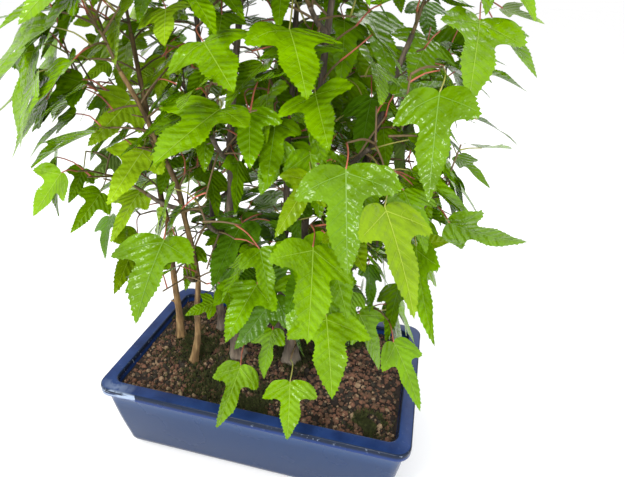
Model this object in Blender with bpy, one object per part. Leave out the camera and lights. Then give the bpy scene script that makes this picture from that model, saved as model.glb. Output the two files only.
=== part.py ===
"""A grove of seven slender trident maple stems in a glazed tray, as closed solids in metres, +Z up.

The origin is the centre of the pot's flat underside. X runs along the pot and -Y is its front.
Stems rise from the soil, boughs leave them towards the crown's tiers, and each mass of foliage
grows by one seeded rule inside its own cell of space.
"""

import math
import random

import bpy
import numpy as np
from mathutils import Vector
from mathutils.bvhtree import BVHTree
from mathutils.geometry import delaunay_2d_cdt

GAP = 0.0003  # clearance that neighbouring solids keep

# Pot: a rectangular tray with a rolled, flat-topped lip and tapering sides
POT_LENGTH = 0.240
POT_DEPTH = 0.145
POT_HEIGHT = 0.072
POT_CORNER = 0.011  # corner radius of the lip, seen from above
LIP_WIDTH = 0.0105
LIP_DROP = 0.0075  # height of the lip's outer face
LIP_ROUND = 0.0015
LIP_OVERHANG = 0.0036
WALL_TAPER = 0.0078  # how far each side leans in from under the lip to the heel
HEEL_RADIUS = 0.0110
POT_FLOOR = 0.008
INNER_TAPER = 0.009
CORNER_STEPS = 5
HEEL_STEPS = 4

SOIL_TOP = 0.0665
SOIL_CLEARANCE = 0.0004
GRAIN_PITCH = 0.0053  # spacing of the soil's coarse grains
GRAIN_SCATTER = 0.34  # how far a grain strays from its place, as a share of the pitch
GRAIN_DIP = 0.0024  # the lowest grain tops lie this far below the highest
GRAIN_INSET = 0.0030  # grains keep this far inside the soil's edge
FOOT_LEVEL = 0.0065  # the soil is level this far round a stem's foot

# Stems: name, foot (x, y), waist and tip (x, y, z), radius above the root flare
STEMS = (
    ("stem_a", (-0.0894, 0.0071), (-0.0885, 0.0040, 0.190), (-0.0950, 0.0000, 0.318), 0.0032),
    ("stem_b", (-0.0634, -0.0195), (-0.0560, -0.0200, 0.187), (-0.0830, -0.0350, 0.300), 0.0028),
    ("stem_c", (-0.0588, 0.0278), (-0.0570, 0.0220, 0.180), (-0.0680, 0.0400, 0.335), 0.0029),
    ("stem_d", (-0.0309, -0.0027), (-0.0330, 0.0000, 0.200), (-0.0150, 0.0000, 0.368), 0.0044),
    ("stem_e", (-0.0082, 0.0453), (0.0000, 0.0300, 0.185), (0.0040, 0.0460, 0.350), 0.0037),
    ("stem_f", (0.0140, 0.0050), (0.0235, 0.0000, 0.200), (0.0400, -0.0080, 0.356), 0.0050),
    ("stem_g", (0.0430, 0.0260), (0.0500, 0.0220, 0.185), (0.0830, 0.0180, 0.325), 0.0034),
)
STEM_TIP_RADIUS = 0.0016
STEM_SWAY = 0.0012  # small side steps at the stem's joints
STEM_RINGS = 10
STEM_SIDES = 8
FLARE = 0.75  # how much wider the foot is than the stem above it
FLARE_HEIGHT = 0.009

# Crown: tiers of masses round the grove, as height, half length, half depth, count, turn
TIERS = (
    (0.168, 0.084, 0.060, 5, 20.0),
    (0.228, 0.108, 0.080, 7, 0.0),
    (0.292, 0.124, 0.090, 6, 25.0),
    (0.350, 0.050, 0.045, 2, -60.0),
)
CROWN_MIDDLE = (0.0, 0.0)
CROWN_LENGTH = 0.336
CROWN_DEPTH = 0.252
CROWN_FOOT = 0.088
CROWN_TOP = 0.426
CROWN_FOOT_SHARE = 0.60  # width at the crown's foot, as a share of its full width
CROWN_WIDEST = 0.270  # height from which the crown has its full width
CROWN_SQUARENESS = 3.0  # exponent of the crown's outline; 2 is an ellipsoid
MASS_RADIUS = 0.066  # furthest a mass reaches from its own middle
TOP_RISE = 0.020  # middle of a stem's top mass above its tip

# Low sprays on the stems: name, stem, height on the stem, middle of the spray
LOW_SPRAYS = (
    ("spray_left", "stem_d", 0.104, (-0.014, -0.054, 0.112)),
    ("spray_front", "stem_f", 0.100, (0.034, -0.048, 0.110)),
    ("spray_right", "stem_g", 0.112, (0.086, -0.012, 0.122)),
)
SPRAY_FOOT = 0.080
SPRAY_REACH = 0.046

BOUGH_SHARE = 0.56  # a bough goes this far towards its mass's middle
BOUGH_RISE = 0.55  # climb of a bough for each metre that it runs sideways
BOUGH_SAG = 0.10
BOUGH_ROOT_SHARE = 0.62  # bough radius at its root, as a share of its stem there
BOUGH_TIP_RADIUS = 0.0014
BOUGH_RINGS = 5
BOUGH_SIDES = 6
BOUGH_DROP = 0.05  # stems are compared this far below a mass's middle
BURDEN = 0.014  # extra distance counted for each bough that a stem already carries
LIMB_CLEARANCE = 0.0030

# Twigs and leaves
TWIG_RADIUS = 0.0019
TWIG_TAPER = 0.7
SIDE_TWIG_RADIUS = 0.0011
STALK_RADIUS = 0.0007
STALK_ROOT_RADIUS = 0.00045
TWIG_SIDES = 3
TWIG_OVERSHOOT = 0.014
TWIG_ARCH = 0.004
NODE_SHARES = (0.28, 0.5, 0.7, 0.86, 1.0)  # places of the leaf pairs along a mass's main twig
FORKED_NODES = 3  # the first so many pairs are side twigs, the rest bare leaf stalks
SIDE_TWIG = (0.018, 0.028)
STALK_LENGTH = (0.012, 0.024)
LEAF_LENGTH = (0.042, 0.056)
LEAF_THICKNESS = 0.034  # at the middle of the blade, as a share of its length
ROOT_START = 0.0002  # what grows on a twig starts this far off its axis, well inside it
BUD_INSET = 0.0010  # a twig's last leaf leaves it this far short of its end
PAIR_INSET = 0.0038  # and its last pair this far
SHARPEST_FOLD = -0.45  # least cosine between a stalk and its blade
LEAF_TRIES = 70
PAIR_LEAN = 0.7  # how far a pair on the main twig leans forward along it
SIDE_PAIR_LEAN = 0.4  # and a pair on a side twig
TWIG_SPREAD = 0.45  # chance turns of side twigs, of the pairs on them, and of leaf stalks
PAIR_SPREAD = 0.5
STALK_SPREAD = 0.55
STALK_LIFT = 0.25  # how far leaf stalks turn up from their pair's way
BLADE_SPREAD = 0.45
BLADE_DROOP = (35, 75)  # degrees that a blade hangs below level
TOP_DROOP_LOSS = 30  # degrees less at the very top of the crown
TOP_DROOP_START = 0.6  # share of the crown's height where that begins
BLADE_ROLL = 28  # most degrees that a blade is rolled to either side
CELL_MARGIN = 0.0012
ROOT_FREE = 0.0030  # stretch at a root where what grows there may touch its neighbours
LIMB_MARGIN = 0.0009
TWIG_MARGIN = 0.0004
LEAF_SWELL = 1.8  # how much thicker a leaf counts in the test for room
LEAF_OUTLINE = (  # trident blade of unit length, as side and forward, from lobe to lobe
    (0.42, 0.33),
    (0.17, 0.44),
    (0.0, 1.0),
    (-0.17, 0.44),
    (-0.42, 0.33),
)
LEAF_MIDDLE = 0.36
COLOURS = {  # name: base colour, roughness
    "glaze": ((0.045, 0.085, 0.240, 1.0), 0.25),
    "soil": ((0.120, 0.075, 0.055, 1.0), 0.95),
    "bark": ((0.170, 0.130, 0.095, 1.0), 0.85),
    "leaf": ((0.140, 0.260, 0.010, 1.0), 0.40),
}
CDT_REACH = 1e-6  # points nearer than this count as one when the soil's top is triangulated
BOOLEAN_SOLVER = "MANIFOLD"  # EXACT leaves some masses touching themselves along an edge
SEED = 11


def clear_scene():
    for obj in list(bpy.data.objects):
        bpy.data.objects.remove(obj, do_unlink=True)


def material(name):
    """The Principled material of this name, made once."""
    found = bpy.data.materials.get(name)
    if found:
        return found
    colour, roughness = COLOURS[name]
    made = bpy.data.materials.new(name)
    made.use_nodes = True
    shader = made.node_tree.nodes["Principled BSDF"]
    shader.inputs["Base Color"].default_value = colour
    shader.inputs["Roughness"].default_value = roughness
    made.diffuse_color = colour
    return made


def mesh_object(name, vertices, faces, finish, collection=None):
    mesh = bpy.data.meshes.new(name)
    mesh.from_pydata([tuple(v) for v in vertices], [], faces)
    mesh.materials.append(material(finish))
    obj = bpy.data.objects.new(name, mesh)
    (collection or bpy.context.scene.collection).objects.link(obj)
    return obj


# ---- pot and soil ----


def rounded_ring(inset, height, radius):
    """One level of the pot: a rounded rectangle set in from the lip's outer edge."""
    half_x = POT_LENGTH / 2 - inset
    half_y = POT_DEPTH / 2 - inset
    ring = []
    for quarter, (sx, sy) in enumerate(((1, 1), (-1, 1), (-1, -1), (1, -1))):
        for step in range(CORNER_STEPS + 1):
            angle = math.radians(90 * (quarter + step / CORNER_STEPS))
            x = sx * (half_x - radius) + radius * math.cos(angle)
            y = sy * (half_y - radius) + radius * math.sin(angle)
            ring.append((x, y, height))
    return ring


def loft(rings):
    """Vertices and faces of a closed body through rings of equal count, capped at both ends."""
    count = len(rings[0])
    vertices = [point for ring in rings for point in ring]
    faces = [tuple(reversed(range(count)))]
    for level in range(len(rings) - 1):
        low = level * count
        for k in range(count):
            after = (k + 1) % count
            faces.append((low + k, low + after, low + count + after, low + count + k))
    last = (len(rings) - 1) * count
    faces.append(tuple(range(last, last + count)))
    return vertices, faces


def pot_profile():
    """(inset, height) from the underside's edge up the outside, over the lip and down the inside."""
    under_lip = POT_HEIGHT - LIP_DROP
    heel = LIP_OVERHANG + WALL_TAPER
    profile = []
    for step in range(HEEL_STEPS + 1):
        angle = math.radians(90 * step / HEEL_STEPS)
        profile.append((heel + HEEL_RADIUS * (1 - math.sin(angle)), HEEL_RADIUS * (1 - math.cos(angle))))
    profile += [
        (LIP_OVERHANG, under_lip - LIP_ROUND),
        (LIP_ROUND, under_lip),
        (0.0, under_lip + LIP_ROUND),
        (0.0, POT_HEIGHT - LIP_ROUND),
        (LIP_ROUND, POT_HEIGHT),
        (LIP_WIDTH - LIP_ROUND, POT_HEIGHT),
        (LIP_WIDTH, POT_HEIGHT - LIP_ROUND),
        (LIP_WIDTH + INNER_TAPER, POT_FLOOR),
    ]
    return profile


def ring_radius(inset):
    return max(POT_CORNER - 0.35 * inset, 0.004)


def make_pot():
    rings = [rounded_ring(inset, height, ring_radius(inset)) for inset, height in pot_profile()]
    vertices, faces = loft(rings)
    return mesh_object("pot", vertices, faces, "glaze")


def soil_inset(height):
    """How far the soil's side is set in from the lip's outer edge at a height."""
    wall_height = POT_HEIGHT - LIP_ROUND - POT_FLOOR
    return LIP_WIDTH + INNER_TAPER * (1 - (height - POT_FLOOR) / wall_height) + SOIL_CLEARANCE


def at_foot(x, y):
    """Whether a place on the soil lies at a stem's foot."""
    for _, foot, _, _, radius in STEMS:
        if math.dist((x, y), foot) < radius * (1 + FLARE) + FOOT_LEVEL:
            return True
    return False


def grain_tops():
    """Tops of the soil's coarse grains, scattered over it and level round the stems' feet."""
    rng = random.Random(SEED)
    inset = soil_inset(SOIL_TOP)
    half_x = POT_LENGTH / 2 - inset
    half_y = POT_DEPTH / 2 - inset
    corner = ring_radius(inset)
    columns = int(2 * half_x / GRAIN_PITCH)
    rows = int(2 * half_y / GRAIN_PITCH)
    tops = []
    for row in range(rows + 1):
        for column in range(columns + 1):
            scatter_x = rng.uniform(-1, 1) * GRAIN_SCATTER * GRAIN_PITCH
            scatter_y = rng.uniform(-1, 1) * GRAIN_SCATTER * GRAIN_PITCH
            dip = GRAIN_DIP * rng.random()
            x = GRAIN_PITCH * (column - columns / 2) + scatter_x
            y = GRAIN_PITCH * (row - rows / 2) + scatter_y
            beyond_x = max(abs(x) - (half_x - corner), 0.0)
            beyond_y = max(abs(y) - (half_y - corner), 0.0)
            if math.hypot(beyond_x, beyond_y) > corner - GRAIN_INSET:
                continue
            tops.append(Vector((x, y, SOIL_TOP - (0.0 if at_foot(x, y) else dip))))
    return tops


def make_soil():
    """The soil fills the tray up to just under the lip, clear of the walls by a hair."""
    rings = []
    for height in (POT_FLOOR + SOIL_CLEARANCE, SOIL_TOP):
        inset = soil_inset(height)
        rings.append(rounded_ring(inset, height, ring_radius(inset)))
    vertices, faces = loft(rings)
    rim = faces.pop()
    surface = [Vector(vertices[k]) for k in rim] + grain_tops()
    outline = [list(range(len(rim)))]
    made, _, triangles, *_ = delaunay_2d_cdt([p.xy for p in surface], [], outline, 1, CDT_REACH)
    if len(made) != len(surface):
        raise ValueError("soil grains fell together")
    vertices += [tuple(p) for p in surface[len(rim) :]]
    faces += [tuple(rim[0] + k for k in triangle) for triangle in triangles]
    return mesh_object("soil", vertices, faces, "soil")


# ---- limbs ----


class Limb:
    """A tapering limb: its course as points, and the radius at each of them."""

    def __init__(self, name, points, radii):
        self.name = name
        self.points = points
        self.radii = radii

    def at_height(self, height):
        """The point and radius where a rising limb passes a height."""
        for k in range(len(self.points) - 1):
            low, high = self.points[k], self.points[k + 1]
            if low.z <= height <= high.z:
                share = (height - low.z) / (high.z - low.z)
                radius = self.radii[k] + share * (self.radii[k + 1] - self.radii[k])
                return low.lerp(high, share), radius
        return self.points[-1].copy(), self.radii[-1]

    def end_direction(self):
        return (self.points[-1] - self.points[-2]).normalized()


def tube(points, radii, sides):
    """Vertices and faces of a closed tapering tube, its rings square to its course."""
    rings = []
    across = Vector((1.0, 0.0, 0.0))
    for k, point in enumerate(points):
        before = points[max(k - 1, 0)]
        after = points[min(k + 1, len(points) - 1)]
        along = (after - before).normalized()
        if k == 0 and abs(along.x) > 0.9:
            across = Vector((0.0, 1.0, 0.0))
        across = (across - along * across.dot(along)).normalized()
        other = along.cross(across)
        ring = []
        for side in range(sides):
            angle = 2 * math.pi * side / sides
            ring.append(point + (across * math.cos(angle) + other * math.sin(angle)) * radii[k])
        rings.append(ring)
    return loft(rings)


def stem_limb(name, foot, waist, tip, radius):
    """A stem's course: a curve through foot, waist and tip, with small side steps."""
    start = Vector((*foot, SOIL_TOP + GAP))
    middle = Vector(waist)
    end = Vector(tip)
    pull = middle * 2 - (start + end) / 2
    phase = sum(map(ord, name))
    points, radii = [], []
    for k in range(STEM_RINGS):
        share = k / (STEM_RINGS - 1)
        point = start * (1 - share) ** 2 + pull * 2 * share * (1 - share) + end * share**2
        sway = STEM_SWAY * math.sin(math.pi * share)
        point += Vector((math.sin(phase + 2.4 * k), math.cos(phase + 2.4 * k), 0.0)) * sway
        height = point.z - start.z
        taper = radius + (STEM_TIP_RADIUS - radius) * share
        points.append(point)
        radii.append(taper * (1 + FLARE * math.exp(-height / FLARE_HEIGHT)))
    points.insert(1, points[0].lerp(points[1], 0.3))
    radii.insert(1, radius * (1 + FLARE * math.exp(-(points[1].z - start.z) / FLARE_HEIGHT)))
    return Limb(name, points, radii)


def make_stem(limb):
    """The stem's solid, cut level at the soil."""
    vertices, faces = tube(limb.points, limb.radii, STEM_SIDES)
    foot = limb.points[0]
    vertices = [Vector(v) for v in vertices]
    for vertex in vertices[:STEM_SIDES]:
        vertex.z = foot.z
    return mesh_object(limb.name, vertices, faces, "bark")


def bough_limb(name, stem, middle):
    """A bough that leaves a stem below a mass's middle and ends just short of it."""
    sideways = math.hypot(middle.x - stem.points[0].x, middle.y - stem.points[0].y)
    root, stem_radius = stem.at_height(middle.z - BOUGH_RISE * sideways)
    run = middle - root
    tip = root + run * BOUGH_SHARE
    bend = root.lerp(tip, 0.5) - Vector((0.0, 0.0, BOUGH_SAG * run.length))
    root_radius = max(stem_radius * BOUGH_ROOT_SHARE, BOUGH_TIP_RADIUS * 1.3)
    points, radii = [], []
    for k in range(BOUGH_RINGS):
        share = k / (BOUGH_RINGS - 1)
        point = root * (1 - share) ** 2 + bend * 2 * share * (1 - share) + tip * share**2
        points.append(point)
        radii.append(root_radius + (BOUGH_TIP_RADIUS - root_radius) * share)
    return Limb(name, points, radii)


def make_bough(limb, stem):
    """The bough's solid, its root cut to sit a hair off its stem's bark."""
    vertices, faces = tube(limb.points, limb.radii, BOUGH_SIDES)
    bough = mesh_object(limb.name, vertices, faces, "bark")
    fat = [radius + GAP for radius in stem.radii]
    vertices, faces = tube(stem.points, fat, STEM_SIDES)
    cutter = mesh_object("cutter", vertices, faces, "bark")
    join(bough, "DIFFERENCE", cutter=cutter)
    return bough


def join(obj, operation, cutter=None, collection=None):
    """Applies one Boolean to an object and removes what it was made with."""
    modifier = obj.modifiers.new("join", "BOOLEAN")
    modifier.operation = operation
    modifier.solver = BOOLEAN_SOLVER
    if collection:
        modifier.operand_type = "COLLECTION"
        modifier.collection = collection
    else:
        modifier.object = cutter
    with bpy.context.temp_override(object=obj, active_object=obj):
        bpy.ops.object.modifier_apply(modifier=modifier.name)
    for helper in [cutter] if cutter else list(collection.objects):
        bpy.data.objects.remove(helper, do_unlink=True)
    if collection:
        bpy.data.collections.remove(collection)


# ---- room to grow in ----


def surface(shape):
    """A search tree over a shape's faces, which tells whether another surface crosses it."""
    vertices, faces = shape
    return BVHTree.FromPolygons([tuple(v) for v in vertices], faces)


class Room:
    """What a growing twig or leaf must stay clear of: limbs, what has grown, and its cell's walls."""

    def __init__(self, limbs, middles):
        self.limbs = [
            surface(tube(limb.points, [r + LIMB_MARGIN for r in limb.radii], STEM_SIDES)) for limb in limbs
        ]
        self.middles = np.array(middles)
        self.grown = []

    def is_clear(self, shape):
        """Whether the shape crosses no limb and nothing that has grown in this mass."""
        tree = surface(shape)
        return not any(other.overlap(tree) for other in self.limbs + self.grown)

    def in_cell(self, points, index):
        """Whether the points lie in the mass's own cell, within its reach and inside the crown."""
        own = np.linalg.norm(points - self.middles[index], axis=1)
        if own.max() > mass_reach(index):
            return False
        others = np.delete(self.middles, index, axis=0)
        apart = np.linalg.norm(others - self.middles[index], axis=1)
        halfway = (others + self.middles[index]) / 2
        beyond = ((points[:, None, :] - halfway) * (others - self.middles[index])).sum(axis=2) / apart
        return bool(beyond.max() < -CELL_MARGIN) and in_crown(points, index)


def mass_reach(index):
    return SPRAY_REACH if index < len(LOW_SPRAYS) else MASS_RADIUS


def in_crown(points, index):
    """Whether the points lie inside the crown's outline, or over the pot for a low spray."""
    if index < len(LOW_SPRAYS):
        return bool(points[:, 2].min() > SPRAY_FOOT)
    middle = np.array((*CROWN_MIDDLE, (CROWN_FOOT + CROWN_TOP) / 2))
    half = np.array((CROWN_LENGTH, CROWN_DEPTH, CROWN_TOP - CROWN_FOOT)) / 2
    climb = np.clip((points[:, 2] - CROWN_FOOT) / (CROWN_WIDEST - CROWN_FOOT), 0.0, 1.0)
    width = CROWN_FOOT_SHARE + (1 - CROWN_FOOT_SHARE) * climb
    out = np.abs((points - middle) / half)
    out[:, :2] /= width[:, None]
    share = (out**CROWN_SQUARENESS).sum(axis=1)
    return bool(share.max() < 1.0)


def turned(direction, spread, rng):
    """The direction turned a little by chance."""
    jitter = Vector([rng.uniform(-spread, spread) for _ in range(3)])
    return (direction + jitter).normalized()


class Growth:
    """One mass: a main twig with opposite pairs, each pair a quarter turn from the last."""

    def __init__(self, name, index, root, heading, middle, room):
        self.name = name
        self.index = index
        self.room = room
        self.rng = random.Random(SEED * 1000 + index)
        self.twigs = []  # (points, radii)
        self.leaves = []  # (root of the stalk, base of the blade, along, normal, length)
        room.grown = []
        for node, way in self.grow_twigs(root, heading, middle):
            self.grow_leaf(node, way)

    def add_twig(self, points, radii):
        """Adds a twig and keeps its space, but for its root, free of what comes after."""
        self.twigs.append((points, radii))
        start = points[0] + (points[1] - points[0]).normalized() * ROOT_FREE
        fat = [radius + TWIG_MARGIN for radius in radii]
        self.room.grown.append(surface(tube([start, *points[1:]], fat, TWIG_SIDES)))

    def grow_twigs(self, root, heading, middle):
        """The main twig and its side twigs. It returns a node and a way for each leaf."""
        start = root + heading * GAP
        end = middle + (middle - start).normalized() * TWIG_OVERSHOOT
        bend = start.lerp(end, 0.5) + Vector((0.0, 0.0, TWIG_ARCH))
        middle_radius = TWIG_RADIUS * (1 + TWIG_TAPER) / 2
        self.add_twig([start, bend, end], [TWIG_RADIUS, middle_radius, TWIG_RADIUS * TWIG_TAPER])
        line = (end - start).normalized()
        across = line.cross(Vector((0.0, 0.0, 1.0)))
        if across.length < 0.2:
            across = Vector((1.0, 0.0, 0.0))
        across.normalize()
        quarter = line.cross(across).normalized()
        tip_way = (end - bend).normalized()
        bud = end - tip_way * PAIR_INSET
        nodes = []
        for k, share in enumerate(NODE_SHARES):
            node = start.lerp(bend, share * 2) if share < 0.5 else bend.lerp(bud, share * 2 - 1)
            side = across if k % 2 == 0 else quarter
            for sign in (1, -1):
                out = (side * sign + line * PAIR_LEAN).normalized()
                nodes += self.side_twig(node, out) if k < FORKED_NODES else [(node, out)]
        nodes.append((end - tip_way * BUD_INSET, tip_way))
        return nodes

    def side_twig(self, node, out):
        """A side twig that bears a pair of leaves and one at its end, or no twig where it has no room."""
        for _ in range(LEAF_TRIES):
            heading = turned(out, TWIG_SPREAD, self.rng)
            tip = node + heading * self.rng.uniform(*SIDE_TWIG)
            points = [node + heading * ROOT_START, tip]
            radii = [SIDE_TWIG_RADIUS] * 2
            fat = [SIDE_TWIG_RADIUS + TWIG_MARGIN] * 2
            free = tube([node + heading * ROOT_FREE, tip], fat, TWIG_SIDES)
            inside = self.room.in_cell(np.array([node.lerp(tip, 0.3), tip]), self.index)
            if inside and self.room.is_clear(free):
                self.add_twig(points, radii)
                across = heading.cross(turned(Vector((0.0, 0.0, 1.0)), PAIR_SPREAD, self.rng))
                across.normalize()
                ways = [(across * sign + heading * SIDE_PAIR_LEAN).normalized() for sign in (1, -1)]
                pair = tip - heading * PAIR_INSET
                return [(pair, ways[0]), (pair, ways[1]), (tip - heading * BUD_INSET, heading)]
        return [(node, out)]

    def grow_leaf(self, node, out):
        """A stalk and a hanging blade, placed where they have room, or nothing."""
        rng = self.rng
        for _ in range(LEAF_TRIES):
            heading = turned(out + Vector((0.0, 0.0, STALK_LIFT)), STALK_SPREAD, rng)
            base = node + heading * rng.uniform(*STALK_LENGTH)
            length = rng.uniform(*LEAF_LENGTH)
            along, normal = blade_pose(base, heading, rng)
            if heading.dot(along) < SHARPEST_FOLD:
                continue
            blade = blade_points(base, along, normal, length, LEAF_OUTLINE)
            if not self.room.in_cell(np.array([base, *blade]), self.index):
                continue
            swollen = leaf_shape((node + heading * ROOT_FREE, base, along, normal, length), LEAF_SWELL)
            if not self.room.is_clear(swollen):
                continue
            self.leaves.append((node + heading * ROOT_START, base, along, normal, length))
            self.room.grown.append(surface(swollen))
            return


def blade_pose(base, heading, rng):
    """Directions of a blade: it hangs from its stalk, tip down and out, its face up and out."""
    outward = Vector((base.x - CROWN_MIDDLE[0], base.y - CROWN_MIDDLE[1], 0.0)).normalized()
    level = Vector((heading.x, heading.y, 0.0))
    level = turned(outward * 0.9 + level * 0.5, BLADE_SPREAD, rng)
    level.z = 0.0
    level.normalize()
    height = (base.z - CROWN_FOOT) / (CROWN_TOP - CROWN_FOOT)
    near_top = max(height - TOP_DROOP_START, 0.0) / (1 - TOP_DROOP_START)
    droop = math.radians(rng.uniform(*BLADE_DROOP) - TOP_DROOP_LOSS * near_top)
    down = Vector((0.0, 0.0, -1.0))
    along = level * math.cos(droop) + down * math.sin(droop)
    normal = level * math.sin(droop) - down * math.cos(droop)
    roll = math.radians(rng.uniform(-BLADE_ROLL, BLADE_ROLL))
    side = along.cross(normal)
    return along.normalized(), (normal * math.cos(roll) + side * math.sin(roll)).normalized()


def blade_points(base, along, normal, length, places):
    side = along.cross(normal)
    return np.array([base + (side * x + along * y) * length for x, y in places])


def stalk_ring(centre, side, way, radius):
    """Three corners of a leaf stalk, square to its way: top, right and left."""
    across = (side - way * side.dot(way)).normalized()
    up = across.cross(way)
    corners = ((0.0, 1.0), (0.87, -0.5), (-0.87, -0.5))
    return [centre + (across * x + up * y) * radius for x, y in corners]


def leaf_shape(leaf, swell=1.0):
    """A leaf as one body: a three-sided stalk that opens into a trident blade, ridged on both faces."""
    root, base, along, normal, length = leaf
    side = along.cross(normal)
    way = (base - root).normalized()
    halfway = (way + along).normalized()
    across = (side - halfway * side.dot(halfway)).normalized()
    root_ring = stalk_ring(root, across, way, STALK_ROOT_RADIUS * swell)
    base_ring = stalk_ring(base, across, halfway, STALK_RADIUS * swell)
    rim = [Vector(p) for p in blade_points(base, along, normal, length, LEAF_OUTLINE)]
    middle = base + along * length * LEAF_MIDDLE
    lift = normal * length * LEAF_THICKNESS / 2 * swell
    vertices = root_ring + base_ring + rim + [middle + lift, middle - lift]
    top, right, left = 3, 4, 5
    first, last = 6, 5 + len(rim)
    above, below = last + 1, last + 2
    faces = [(0, 2, 1)]
    for a, b in ((0, 1), (1, 2), (2, 0)):
        faces.append((a, b, b + 3, a + 3))
    upper = [top, right, *range(first, last + 1), left, top]
    lower = [right, *range(first, last + 1), left, right]
    for a, b in zip(upper, upper[1:]):
        faces.append((above, a, b))
    for a, b in zip(lower, lower[1:]):
        faces.append((below, b, a))
    return vertices, faces


def make_mass(growth):
    """The mass's solid: its main twig, with all that grows on it fused by one Boolean."""
    parts = bpy.data.collections.new("parts")
    bpy.context.scene.collection.children.link(parts)
    for points, radii in growth.twigs[1:]:
        vertices, faces = tube(points, radii, TWIG_SIDES)
        mesh_object("twig", vertices, faces, "bark", parts)
    for leaf in growth.leaves:
        vertices, faces = leaf_shape(leaf)
        mesh_object("leaf", vertices, faces, "leaf", parts)
    points, radii = growth.twigs[0]
    vertices, faces = tube(points, radii, TWIG_SIDES)
    mass = mesh_object(growth.name, vertices, faces, "leaf")
    join(mass, "UNION", collection=parts)
    return mass


# ---- the plant's plan ----


def tier_middles():
    """Names and middles of the masses on boughs, tier by tier."""
    found = []
    for tier, (height, half_length, half_depth, count, turn) in enumerate(TIERS, 1):
        for k in range(count):
            angle = math.radians(turn + 360 * k / count)
            x = CROWN_MIDDLE[0] + half_length * math.cos(angle)
            y = CROWN_MIDDLE[1] + half_depth * math.sin(angle)
            found.append((f"tier{tier}_{k + 1}", Vector((x, y, height))))
    return found


def plan_boughs(stems, tiers):
    """A bough for each tier mass, from the nearest stem that has a clear way and carries few."""
    carried = {stem.name: 0 for stem in stems}
    boughs = []
    for name, middle in tiers:
        def cost(stem):
            foot, _ = stem.at_height(middle.z - BOUGH_DROP)
            return math.hypot(foot.x - middle.x, foot.y - middle.y) + BURDEN * carried[stem.name]

        for stem in sorted(stems, key=cost):
            limb = bough_limb("bough_" + name, stem, middle)
            others = [s for s in stems if s is not stem] + [b for b, _ in boughs]
            fat = tube(limb.points, [r + LIMB_CLEARANCE for r in limb.radii], BOUGH_SIDES)
            if Room(others, [middle]).is_clear(fat):
                break
        carried[stem.name] += 1
        boughs.append((limb, stem))
    return boughs


def plan_masses(stems, boughs, tiers):
    """(name, root, heading, middle) of every mass: low sprays first, then tiers, then stem tops."""
    by_name = {stem.name: stem for stem in stems}
    plan = []
    for name, stem_name, height, middle in LOW_SPRAYS:
        middle = Vector(middle)
        point, radius = by_name[stem_name].at_height(height)
        heading = (middle - point).normalized()
        plan.append((name, point + heading * (radius + GAP), heading, middle))
    for (name, middle), (bough, _) in zip(tiers, boughs):
        plan.append(("mass_" + name, bough.points[-1], bough.end_direction(), middle))
    for stem in stems:
        tip = stem.points[-1]
        heading = stem.end_direction()
        middle = tip + heading * TOP_RISE
        plan.append((stem.name.replace("stem", "top"), tip, heading, middle))
    return plan


def main():
    clear_scene()
    make_pot()
    make_soil()
    stems = [stem_limb(*row) for row in STEMS]
    tiers = tier_middles()
    boughs = plan_boughs(stems, tiers)
    plan = plan_masses(stems, boughs, tiers)
    room = Room(stems + [bough for bough, _ in boughs], [middle for *_, middle in plan])
    for stem in stems:
        make_stem(stem)
    for bough, stem in boughs:
        make_bough(bough, stem)
    for index, (name, root, heading, middle) in enumerate(plan):
        make_mass(Growth(name, index, root, heading, middle, room))


main()
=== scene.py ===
"""Trident maple grove in a glazed tray: the looks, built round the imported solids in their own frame.

Metres, +Z up. The grove's plan repeats the source's rule with the same sizes and the same seeded
draws, so stems, boughs, twigs and leaves stand where the solids do. The rule is then carried to
finer twigs. The leaves that the photograph shows best are placed by the pixels of their base,
lobes and tip, at a stated depth from its camera.
"""

import math
import random
from dataclasses import dataclass

import bmesh
import bpy
import numpy as np
from mathutils import Matrix, Vector, noise
from mathutils.bvhtree import BVHTree
from mathutils.geometry import delaunay_2d_cdt


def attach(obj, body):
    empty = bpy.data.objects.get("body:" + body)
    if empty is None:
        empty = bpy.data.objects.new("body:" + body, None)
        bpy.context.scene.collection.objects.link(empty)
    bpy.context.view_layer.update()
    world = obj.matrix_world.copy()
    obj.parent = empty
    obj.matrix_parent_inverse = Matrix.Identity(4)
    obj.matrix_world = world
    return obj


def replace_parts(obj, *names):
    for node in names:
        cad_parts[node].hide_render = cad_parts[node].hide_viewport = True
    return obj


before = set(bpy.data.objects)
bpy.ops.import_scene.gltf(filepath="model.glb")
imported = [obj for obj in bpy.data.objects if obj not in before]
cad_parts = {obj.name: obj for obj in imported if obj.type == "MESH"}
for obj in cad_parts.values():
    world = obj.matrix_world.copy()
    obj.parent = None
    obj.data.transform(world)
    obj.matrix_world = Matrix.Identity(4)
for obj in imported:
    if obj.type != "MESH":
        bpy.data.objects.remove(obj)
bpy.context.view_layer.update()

# ---- the source's sizes, repeated ----

GAP = 0.0003
POT_LENGTH = 0.240
POT_DEPTH = 0.145
POT_HEIGHT = 0.072
POT_CORNER = 0.011
LIP_WIDTH = 0.0105
LIP_DROP = 0.0075
LIP_ROUND = 0.0015
LIP_OVERHANG = 0.0036
WALL_TAPER = 0.0078
HEEL_RADIUS = 0.0110
POT_FLOOR = 0.008
INNER_TAPER = 0.009
SOIL_TOP = 0.0665
SOIL_CLEARANCE = 0.0004
GRAIN_PITCH = 0.0053
GRAIN_SCATTER = 0.34
GRAIN_DIP = 0.0024
GRAIN_INSET = 0.0030
FOOT_LEVEL = 0.0065
CDT_REACH = 1e-6

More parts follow.
